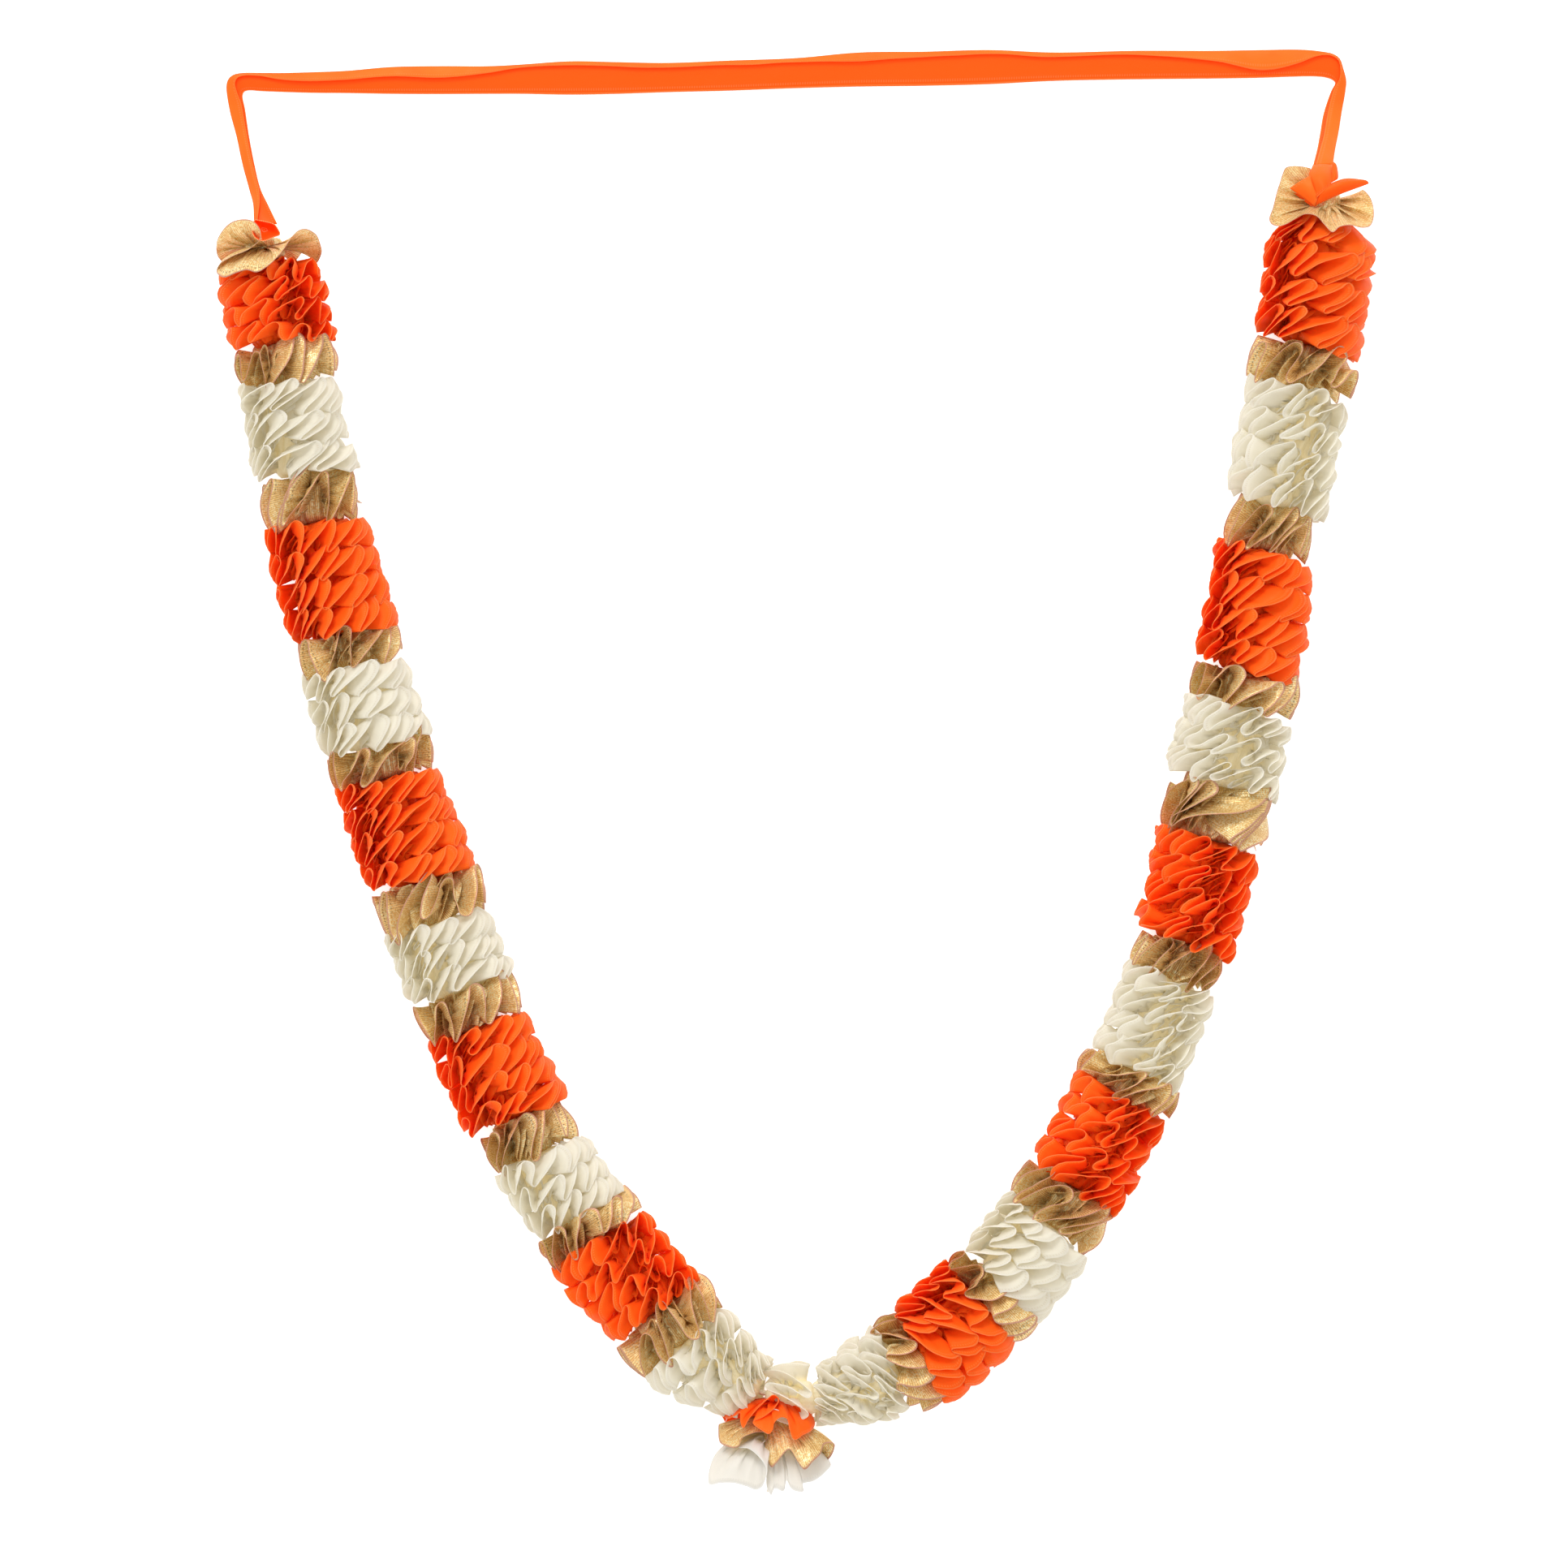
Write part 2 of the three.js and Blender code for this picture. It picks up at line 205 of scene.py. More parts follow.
def satin(name, base, dark, rim, dot, through, tint, rough=0.42, edge=0.020, specular=0.35, both=False, deep=None, dots=0.4, hem=0.0006, painted_glow=0.0):
    """Woven satin: fine diagonal twill, a lighter selvedge line with a row of small stitches inside it, and light that
    comes through the cloth. Deep in the gathers the colour is painted for the shade there, and pale cloth can be given
    a faint painted glow."""
    N = Nodes(name)
    u, v = N.uv()
    big = N.noise(45, 3)
    tone = N.mix(N.ramp(big, 0.3, 0.75), dark, base)
    # satin lies in slightly different lustre along its length
    lustre = N.noise(160, 2)
    line = N.ramp(v, edge - 0.00045, edge - 0.0002)
    stitch = N.math("MULTIPLY", N.ramp(v, edge - hem - 0.0007, edge - hem - 0.00045), N.ramp(v, edge - hem - 0.00025, edge - hem, 1, 0))
    if both:
        line = N.math("MAXIMUM", line, N.ramp(v, 0.0002, 0.00045, 1, 0))
        stitch = N.math("MAXIMUM", stitch, N.math("MULTIPLY", N.ramp(v, 0.0006, 0.00085), N.ramp(v, 0.00105, 0.0013, 1, 0)))
    beat = N.math("FRACT", N.math("MULTIPLY", u, 1 / 0.0009))
    beat = N.ramp(N.math("ABSOLUTE", N.math("SUBTRACT", beat, 0.5)), 0.18, 0.3, 1, 0)
    stitch = N.math("MULTIPLY", stitch, beat)
    if deep is not None:  # painted shade: near the stitching, deep in the gathers, the colour is painted as deep (darker and redder on orange, brighter and yellower on ivory), in place of the shaded, bounced light there
        tone = N.mix(N.ramp(v, edge * 0.25, edge * 0.66, 1, 0), tone, deep)
    if both:  # the face that lies under is in shade and deeper in colour
        a = N.new("Attribute", attribute_name="shade")
        tone = N.mix(a.outputs["Fac"], (1.0, 0.118, 0.005), tone)
    colour = N.mix(line, tone, rim)
    colour = N.mix(N.math("MULTIPLY", stitch, dots), colour, dot)
    twill = N.math("SINE", N.math("MULTIPLY", N.math("ADD", u, N.math("MULTIPLY", v, 1.0)), TAU / 0.00042))
    height = N.math("ADD", N.math("MULTIPLY", twill, 0.25), N.math("MULTIPLY", stitch, -1.6))
    height = N.math("ADD", height, N.math("MULTIPLY", line, 1.2))
    b = N.bump(height, 0.35, 0.00006)
    b = N.bump(N.noise(380, 3, 0.6), 0.16, 0.0005, b)
    if deep is not None:  # fine gathers run out from the stitching
        fine = N.math("SINE", N.math("ADD", N.math("MULTIPLY", u, TAU / 0.0013), N.math("MULTIPLY", N.noise(220, 2), 9.0)))
        b = N.bump(N.math("MULTIPLY", fine, N.ramp(v, edge * 0.28, edge * 0.6, 1, 0)), 0.35, 0.0002, b)
    p = N.principled(Base_Color=colour, Roughness=N.ramp(lustre, 0.3, 0.7, rough - 0.05, rough + 0.07), Normal=b)
    p.inputs["Specular IOR Level"].default_value = specular
    p.inputs["Specular Tint"].default_value = (*tint, 1)
    p.inputs["Emission Color"].default_value = (1.0, 0.82, 0.48, 1)  # painted light: a faint glow painted on the cloth, in place of light bounced between the layers of pale cloth
    p.inputs["Emission Strength"].default_value = painted_glow
    p.inputs["Sheen Weight"].default_value = 0.12
    p.inputs["Sheen Roughness"].default_value = 0.4
    p.inputs["Sheen Tint"].default_value = (*tint, 1)
    t = N.new("BsdfTranslucent")
    N.link(colour, t.inputs[0])
    N.link(b, t.inputs["Normal"])
    m = N.new("MixShader")
    m.inputs[0].default_value = through
    N.link(p.outputs[0], m.inputs[1])
    N.link(t.outputs[0], m.inputs[2])
    return N.done(m.outputs[0])


def metal_ribbon(name, edge=0.020):
    """Gold ribbon: bright metallic weft bars beaded by the warp, dark sheer lines between them, a pale copper selvedge
    and a row of dark stitches beside it, with painted sparkle and glints: spots of the bars painted brighter gold and
    pale yellow."""
    N = Nodes(name)
    u, v = N.uv()
    wob = N.noise(260, 2)
    uu = N.math("ADD", N.math("MULTIPLY", u, 1 / 0.00086), N.math("MULTIPLY", wob, 0.2))
    bar = N.math("FRACT", uu)
    bar = N.ramp(N.math("ABSOLUTE", N.math("SUBTRACT", bar, 0.5)), 0.26, 0.44, 1, 0)
    bead = N.math("SINE", N.math("ADD", N.math("MULTIPLY", v, TAU / 0.00062), N.math("MULTIPLY", N.math("FLOOR", uu), 2.1)))
    spark = N.noise(1350, 2, 0.7)
    zone = N.noise(130, 2)
    # painted glints: where the spark noise and the beads peak, in patches given by zone, the colour is painted pale
    # yellow as if catching the light; these spots are also smoother and metallic
    painted_glint = N.math("MULTIPLY", N.ramp(N.math("ADD", spark, N.math("MULTIPLY", bead, 0.10)), 0.52, 0.60), N.ramp(zone, 0.36, 0.56))
    hue = N.noise(60, 2)
    ground = N.mix(N.ramp(hue, 0.35, 0.65), (0.66, 0.395, 0.145), (0.71, 0.44, 0.19))
    plain = N.mix(N.ramp(hue, 0.35, 0.65), (0.75, 0.48, 0.135), (0.79, 0.50, 0.18))
    # painted sparkle: the bars are painted brighter gold where the spark noise is high
    gold = N.mix(N.ramp(spark, 0.35, 0.65), plain, (0.96, 0.76, 0.36))
    colour = N.mix(bar, ground, gold)
    colour = N.mix(painted_glint, colour, (1.0, 0.93, 0.56))
    rim = N.ramp(v, edge - 0.0007, edge - 0.0004)
    stitch = N.math("MULTIPLY", N.ramp(v, edge - 0.0024, edge - 0.0021), N.ramp(v, edge - 0.0018, edge - 0.0015, 1, 0))
    beat = N.math("FRACT", N.math("MULTIPLY", u, 1 / 0.0016))
    stitch = N.math("MULTIPLY", stitch, N.ramp(N.math("ABSOLUTE", N.math("SUBTRACT", beat, 0.5)), 0.16, 0.26, 1, 0))
    stitch = N.math("MULTIPLY", stitch, N.ramp(N.noise(35, 1), 0.48, 0.6))
    colour = N.mix(rim, colour, (0.66, 0.36, 0.23))
    colour = N.mix(N.math("MULTIPLY", stitch, 0.6), colour, (0.13, 0.07, 0.03))
    h = N.math("ADD", N.math("MULTIPLY", bar, 1.0), N.math("MULTIPLY", spark, 0.9))
    h = N.math("ADD", h, N.math("ADD", N.math("MULTIPLY", rim, 1.0), N.math("MULTIPLY", N.math("MULTIPLY", bead, bar), 0.25)))
    b = N.bump(h, 0.55, 0.00014)
    solid = N.math("MAXIMUM", N.math("MAXIMUM", bar, rim), painted_glint)
    p = N.principled(Base_Color=colour, Metallic=N.math("MULTIPLY", solid, 0.42), Roughness=N.ramp(painted_glint, 0, 1, 0.42, 0.24), Normal=b)
    p.inputs["Specular IOR Level"].default_value = 0.5
    t = N.new("BsdfTranslucent")
    N.link(colour, t.inputs[0])
    m = N.new("MixShader")
    m.inputs[0].default_value = 0.30
    N.link(p.outputs[0], m.inputs[1])
    N.link(t.outputs[0], m.inputs[2])
    c = N.new("BsdfTransparent")
    s = N.new("MixShader")
    N.link(N.ramp(solid, 0, 1, 0.22, 0.0), s.inputs[0])
    N.link(m.outputs[0], s.inputs[1])
    N.link(c.outputs[0], s.inputs[2])
    return N.done(s.outputs[0])


def cotton(name, base):
    N = Nodes(name)
    n = N.noise(900, 4, 0.7)
    colour = N.mix(N.ramp(n, 0.3, 0.7), tuple(c * 0.7 for c in base), base)
    p = N.principled(Base_Color=colour, Roughness=0.85, Normal=N.bump(n, 0.6, 0.0003))
    p.inputs["Sheen Weight"].default_value = 0.3
    return N.done(p.outputs[0])


# deep is each satin's painted shade colour deep in the gathers; the ivory's faint emission is painted light, a glow in
# place of light bounced between its layers
orange = satin("orange_satin", (1.0, 0.177, 0.013), (0.99, 0.145, 0.009), (1.0, 0.26, 0.06), (1.0, 0.33, 0.08), 0.40, (1.0, 0.55, 0.25), deep=(0.95, 0.085, 0.004))
ivory = satin("ivory_satin", (0.83, 0.815, 0.75), (0.81, 0.79, 0.715), (0.86, 0.84, 0.78), (0.73, 0.68, 0.57), 0.54, (1.0, 1.0, 0.97), deep=(1.0, 0.955, 0.77), dots=0.7, painted_glow=0.15)
# painted shade: a greyer, less see-through copy of the ivory satin for the pendant's lowest skirt, so that it reads as
# lying in shade
pale = satin("ivory_satin_painted_shade", (0.80, 0.772, 0.715), (0.765, 0.737, 0.675), (0.90, 0.88, 0.84), (0.72, 0.69, 0.62), 0.34, (1.0, 1.0, 0.97), deep=(0.88, 0.80, 0.58), dots=0.6)
gold = metal_ribbon("gold_ribbon")
thread = cotton("cotton_thread", (0.82, 0.72, 0.55))


# ---------------------------------------------------------------- the gathered ribbons
def wave(rng, n, step, lo=-1.0, hi=1.0):
    """A smooth random curve over n samples, with one random value every step samples."""
    m = int(n / step) + 4
    v = rng.uniform(lo, hi, m)
    t = np.arange(n) / step + rng.uniform(0, 1)
    i = t.astype(int)
    f = t - i
    f = f * f * (3 - 2 * f)
    return v[i] * (1 - f) + v[i + 1] * f


def low_pass(a, width):
    """Moving average of a over width samples, twice."""
    k = max(3, int(width) | 1)
    for _ in range(2):
        p = np.concatenate([np.full(k // 2, a[: k // 2 + 1].mean()), a, np.full(k // 2, a[-(k // 2) :].mean())])
        c = np.cumsum(np.concatenate([[0], p]))
        a = (c[k:] - c[:-k]) / k
    return a


def ease(a):
    return a * a * (3 - 2 * a)


def meander(rng, waves, up, down, height, tip, wild, h=1.0):
    """The outer edge of a gathered ribbon, unrolled: legs that slant up at angle up and come back down at angle
    down, joined by round turns. Returns x, s and the wave number of each sample, h apart."""
    n = 2 * waves + 1
    ang = np.where(np.arange(n) % 2 == 0, -up, down) + wild * rng.normal(0, math.radians(9), n)
    size = height * np.clip(1 + wild * rng.normal(0, 0.16, n) + wild * 0.12 * wave(rng, n, 6), 0.45, 1.6)
    rad = tip * np.where(np.arange(n) % 2 == 0, 1.45, 0.85) * np.exp(wild * rng.normal(0, 0.28, n))
    th, wn = [], []
    for i in range(n - 1):
        turn = abs(ang[i + 1] - ang[i])
        reach = rad[i] * (2 - math.cos(abs(ang[i])) - math.cos(min(abs(ang[i + 1]), math.pi / 2)))
        leg = max(2.0, (size[i] - reach) / max(0.35, math.sin(min(abs(ang[i]), math.pi / 2))))
        m, k = max(2, round(leg / h)), max(2, round(rad[i] * turn / h))
        t = (np.arange(m) + 0.5) / m
        bow, sway = wild * rng.normal(0, math.radians(7), 2)
        th.append(ang[i] + bow * np.sin(math.pi * t) + sway * np.sin(TAU * t))
        th.append(ang[i] + (ang[i + 1] - ang[i]) * (np.arange(k) + 0.5) / k)
        wn.append((i + (np.arange(m + k) + 0.5) / (m + k)) / 2)
    th = np.concatenate(th)
    return np.cumsum(np.cos(th)) * h, np.cumsum(np.sin(th)) * h, np.concatenate(wn)


def lay_out(rng, length, rows, per_turn, radius, up, down, height, tip, wild, over, settle, gap, level, h=1.0):
    """The edge of one roll on its unrolled cylinder, x round the roll and s along it, with its loops pushed apart
    where they would touch."""
    circ = TAU * radius
    waves = round(rows * per_turn)
    x, s, w = meander(rng, waves, up, down, height, tip, wild, h)
    step = circ / per_turn
    xt = w * step
    st = np.full_like(w, length / 2) if level else length * w / waves
    each = len(x) / waves
    x = x - low_pass(x - xt, each * 1.2)
    s = s - low_pass(s - st, each * 1.2)
    if not level:  # the ribbon's two ends taper into the roll
        s = st + (s - st) * np.minimum(1, (np.minimum(st, length - st) + over + 0.5) / (height / 2))
    s = np.clip(s, -over, length + over)
    rest = np.hypot(np.diff(x), np.diff(s))
    P = np.stack([x, s], 1)
    A = P.copy()
    n, skip = len(x), int(3.2 / h)
    for it in range(settle):
        if it % 6 == 0:
            xm = np.mod(P[:, 0], circ).astype(np.float32)
            sm = P[:, 1].astype(np.float32)
            dx = np.abs(xm[:, None] - xm[None, :])
            dx = np.minimum(dx, circ - dx)
            i, j = np.nonzero(np.triu(dx * dx + (sm[:, None] - sm[None, :]) ** 2 < (gap + 0.9) ** 2, skip))
        dx = P[i, 0] - P[j, 0]
        dx -= circ * np.round(dx / circ)
        ds = P[i, 1] - P[j, 1]
        d = np.hypot(dx, ds) + 1e-6
        hit = d < gap
        push = ((gap - d) * 0.45 / d)[hit]
        push = np.stack([dx[hit] * push, ds[hit] * push], 1)
        F, c = np.zeros_like(P), np.zeros(n)
        np.add.at(F, i[hit], push)
        np.add.at(F, j[hit], -push)
        np.add.at(c, i[hit], 1)
        np.add.at(c, j[hit], 1)
        P += F / np.maximum(c, 1)[:, None] * 1.3
        D = P - A
        P[1:-1] += 0.5 * ((D[:-2] + D[2:]) / 2 - D[1:-1])
        for _ in range(3):
            e = P[1:] - P[:-1]
            q = np.hypot(e[:, 0], e[:, 1]) + 1e-9
            k = (0.4 * (q - rest) / q)[:, None] * e
            P[:-1] += k
            P[1:] -= k
        P[:, 1] = np.clip(P[:, 1], -over, length + over)
        P += (A - P) * 0.01
    return P[:, 0], P[:, 1], w, st, step


def pick(x, s, n):
    """n places along the edge, closer together in its turns."""
    e = np.diff(np.stack([x, s], 1), axis=0)
    bend = np.abs(np.diff(np.unwrap(np.arctan2(e[:, 1], e[:, 0]))))
    bend = np.concatenate([[0], bend, [0]])
    bend = np.convolve(bend, np.ones(5) / 5, "same")
    w = 0.45 + 1.6 * bend
    c = np.concatenate([[0], np.cumsum((w[1:] + w[:-1]) / 2)])
    return np.interp(np.linspace(0, c[-1], n), c, np.arange(len(x)))


def ruffle(rng, length, rows, per_turn, radius, up=45, down=97, height=14.0, tip=1.4, wild=1.0, across=8, per_wave=20,
           deep=0.5, flare=1.2, flop=1.0, over=0.5, drop=1.2, settle=60, gap=0.8, rough=0.6, pair=0.2, pleat=3.5,
           pleat_step=7.5, inner=3.4, start=math.pi, level=False, swirl=(0.9, 0.35)):
    """The middle surface of a gathered ribbon, as radius, angle and place along the strand, with v from 0 at the
    sewn edge to 1 at the free one, and the length along the free edge."""
    x, s, w, st, step = lay_out(rng, length, rows, per_turn, radius, math.radians(up), math.radians(down), height, tip, wild, over, settle, gap, level)
    each = len(x) / w[-1]
    idx = pick(x, s, int(w[-1] * per_wave))
    # deep down, the two sides of each lower loop lie together, and the upper loops span between them
    ju = np.arange(-1, int(w[-1]) + 4)
    xu = np.interp(ju - 0.06, w, x) + np.where(ju < 0, -step, 0) + np.maximum(ju - w[-1], 0) * step
    pos = w + 0.56
    j = np.floor(pos).astype(int)
    f = pos - j
    xs = xu[j + 1] + (xu[j + 2] - xu[j + 1]) * 0.5 * ease(np.clip((f - 0.82) / 0.18, 0, 1)) - (xu[j + 1] - xu[j]) * 0.5 * ease(np.clip(1 - f / 0.18, 0, 1))
    E = np.concatenate([[0], np.cumsum(np.hypot(np.diff(x), np.diff(s)))])
    lean = np.clip(np.abs(s - st) / (height / 2), 0, 1.3)
    R = radius - drop * lean**2.5 + rough * wave(rng, len(x), each * 0.5) + 0.6 * rough * wave(rng, len(x), each * 2.3)
    R = low_pass(R, 5)
    for a in (x, s):
        a[1:-1] = (a[:-2] + 2 * a[1:-1] + a[2:]) / 4
    I = np.arange(len(x))
    x, s, xs, st, R, E, w = (np.interp(idx, I, a) for a in (x, s, xs, st, R, E, w))
    n = len(x)
    v = (np.linspace(0, 1, across + 1) ** 0.9)[None]
    side = np.tanh((s - st) / 3)[:, None]
    d = deep - 0.22 * side
    g = d + (1 - d) * v**flare
    hx = pair + (1 - pair) * v**1.2
    fx, fs = (flop * 1.6 * wave(rng, n, per_wave * 0.8)[:, None] for _ in (0, 1))
    tw = flop * wave(rng, n, per_wave * 0.45)[:, None]
    X = xs[:, None] + (x - xs)[:, None] * hx + 1.3 * fx * (v * v - v)
    S = st[:, None] + (s - st)[:, None] * g + fs * (v * v - v)
    k = (1 - v) ** 1.4
    ph = (TAU * E / pleat_step + 1.5 * wave(rng, n, per_wave * 0.3))[:, None]
    S = S + pleat * np.sin(ph) * k
    X = X + 1.5 * pleat * np.cos(ph) * k
    r = inner + (R[:, None] - inner) * v + tw * v * (1 - v)
    # the cloth leans over sideways as it goes down, so that no gap looks straight in to the thread
    q = np.clip(1 - r / radius, 0, 1)
    turn = (swirl[0] + swirl[1] * wave(rng, n, per_wave * 1.3))[:, None] * 0.8 * np.tanh(1.25 * (q + 0.5 * q * q))
    return r, X / radius + start + turn, S, v[0], E, w


class Sway:
    """A smooth field of small moves in space, from a few sine waves."""

    def __init__(self, seed, n, short, long, amount):
        rng = np.random.default_rng(seed)
        d = rng.normal(size=(n, 3))
        d /= np.linalg.norm(d, axis=1, keepdims=True)
        self.k = d * (TAU / rng.uniform(short, long, n))[:, None]
        self.p = rng.uniform(0, TAU, n)
        a = rng.normal(size=(n, 3))
        self.a = a / np.linalg.norm(a, axis=1, keepdims=True) * amount / math.sqrt(n / 2)

    def __call__(self, P):
        return np.sin(P @ self.k.T + self.p) @ self.a


sway = Sway(3, 14, 18, 45, 0.8)


def rest_on_floor(P, at=0.25, soft=3.0):
    """Presses what would reach below the floor flat against it."""
    z = P[..., 2]
    span = soft - at
    P[..., 2] = np.where(z < soft, soft - span * np.tanh((soft - z) / span), z)
    return P


def cloth(P, v, E, wide, thick, shade=None):
    """Vertices, faces, UVs and shades of a thin closed cloth round its middle surface P (along, across, 3) in mm.
    The UVs are lengths along and across the ribbon, in metres."""
    nu, nv = P.shape[:2]
    du, dv = np.gradient(P, axis=0), np.gradient(P, axis=1)
    nrm = np.cross(du, dv)
    nrm /= np.maximum(np.linalg.norm(nrm, axis=-1, keepdims=True), 1e-9)
    top, low = P + nrm * thick / 2, P - nrm * thick / 2
    verts = np.concatenate([top.reshape(-1, 3), low.reshape(-1, 3)])
    verts[:, 2] = np.maximum(verts[:, 2], 0.02)
    idx, off = np.arange(nu * nv).reshape(nu, nv), nu * nv
    q = np.stack([idx[:-1, :-1], idx[1:, :-1], idx[1:, 1:], idx[:-1, 1:]], -1).reshape(-1, 4)

    def rim(a):
        return np.stack([a[:-1], a[:-1] + off, a[1:] + off, a[1:]], -1)

    faces = np.concatenate([q, q[:, ::-1] + off, rim(idx[:, -1])[:, ::-1], rim(idx[:, 0]), rim(idx[0, :])[:, ::-1], rim(idx[-1, :])])
    c = verts[faces]
    six = (np.einsum("ij,ij->i", c[:, 0], np.cross(c[:, 1], c[:, 2])) + np.einsum("ij,ij->i", c[:, 0], np.cross(c[:, 2], c[:, 3]))).sum()
    if six < 0:
        faces = faces[:, ::-1]
    uv = np.stack(np.broadcast_arrays(np.asarray(E).reshape(nu, -1) * MM, np.asarray(v).reshape(-1, nv) * wide * MM), -1).reshape(-1, 2)
    shade = np.zeros(nu * nv) if shade is None else shade.ravel()
    return verts, faces, np.concatenate([uv, uv]), np.concatenate([shade, shade])


def shell(name, parts, mat):
    """One object from one or more cloths."""
    verts, uvs, shades = (np.concatenate([q[k] for q in parts]) for k in (0, 2, 3))
    starts = np.cumsum([0] + [len(q[0]) for q in parts])
    faces = np.concatenate([q[1] + o for q, o in zip(parts, starts)])
    me = bpy.data.meshes.new(name)
    me.vertices.add(len(verts))
    me.vertices.foreach_set("co", (verts * MM).ravel())
    me.loops.add(faces.size)
    me.loops.foreach_set("vertex_index", faces.ravel())
    me.polygons.add(len(faces))
    me.polygons.foreach_set("loop_start", np.arange(len(faces)) * 4)
    me.polygons.foreach_set("loop_total", np.full(len(faces), 4))
    me.uv_layers.new(name="ribbon").data.foreach_set("uv", uvs[faces.ravel()].ravel())
    me.attributes.new("shade", "FLOAT", "POINT").data.foreach_set("value", shades)
    me.polygons.foreach_set("use_smooth", np.ones(len(faces), bool))
    me.update()
    me.validate()
    me.materials.append(mat)
    o = bpy.data.objects.new(name, me)
    scene.collection.objects.link(o)
    return o


def wrap(route, at, r, phi, S, scale=None):
    """Rolls a surface up round a route, from length at along it."""
    C, T = route.at(at + S)
    if scale is not None:
        r = r * scale(S)
    side = r * np.sin(phi)
    return np.stack([C[..., 0] - T[..., 1] * side, C[..., 1] + T[..., 0] * side, AXIS_Z + r * np.cos(phi)], -1)


CLOTH = {
    "orange": (orange, "orange_satin", 20.0, 0.22),
    "ivory": (ivory, "ivory_satin", 20.0, 0.22),
    "gold": (gold, "gold_ribbon", 20.0, 0.18),
    "pale": (pale, "ivory_satin", 20.0, 0.22),
}
sheets = []


def place(node, kind, P, v, E, more=(), extra=0.0):
    """The cloth of one ribbon, with any inner layers in more, as (P, v, E), which take extra mm of it."""
    mat, slot, wide, thick = CLOTH[kind]
    parts = []
    for q, vv, ee in [(P, v, E), *more]:
        q = q + sway(q.reshape(-1, 3)).reshape(q.shape)
        parts.append(cloth(rest_on_floor(q), vv, ee, wide, thick))
    o = shell(node.replace("_ruffle", "_ribbon"), parts, mat)
    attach(o, "root")
    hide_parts(node)
    sheets.append((node, wide, E[-1] + extra))
    return o


def inner_gathers(rng, route, at, length, radius, folds, scale=None):
    """The closed, pleated layer that the sewn edge makes round the thread, deep between the loops."""
    n, m = folds * 10 + 1, max(8, int(length / 1.3))
    phi = np.linspace(0, TAU, n)[:, None] + math.pi
    S = np.linspace(-0.8, length + 0.8, m)[None]
    wob = np.stack([wave(rng, m, 4) for _ in range(3)])
    r = radius + 0.05 * radius * (np.sin(folds * phi + 1.6 * wob[0] + S * 0.35) + 0.6 * np.sin(round(folds * 0.6) * phi + 2.5 * wob[1] - S * 0.5))
    end = np.clip(np.minimum(S + 0.8, length + 0.8 - S) / 3.0, 0, 1)
    r = 2.2 + (r - 2.2) * np.sqrt(1 - (1 - end) ** 2)
    phi, S = (np.broadcast_to(a, r.shape) for a in (phi, S))
    P = wrap(route, at, r, phi, S, scale)
    # v is set so that on satin this layer takes much of the painted deep shade colour
    return P, np.broadcast_to(0.42, r.shape), phi * radius * 1.3 + S * 0.2


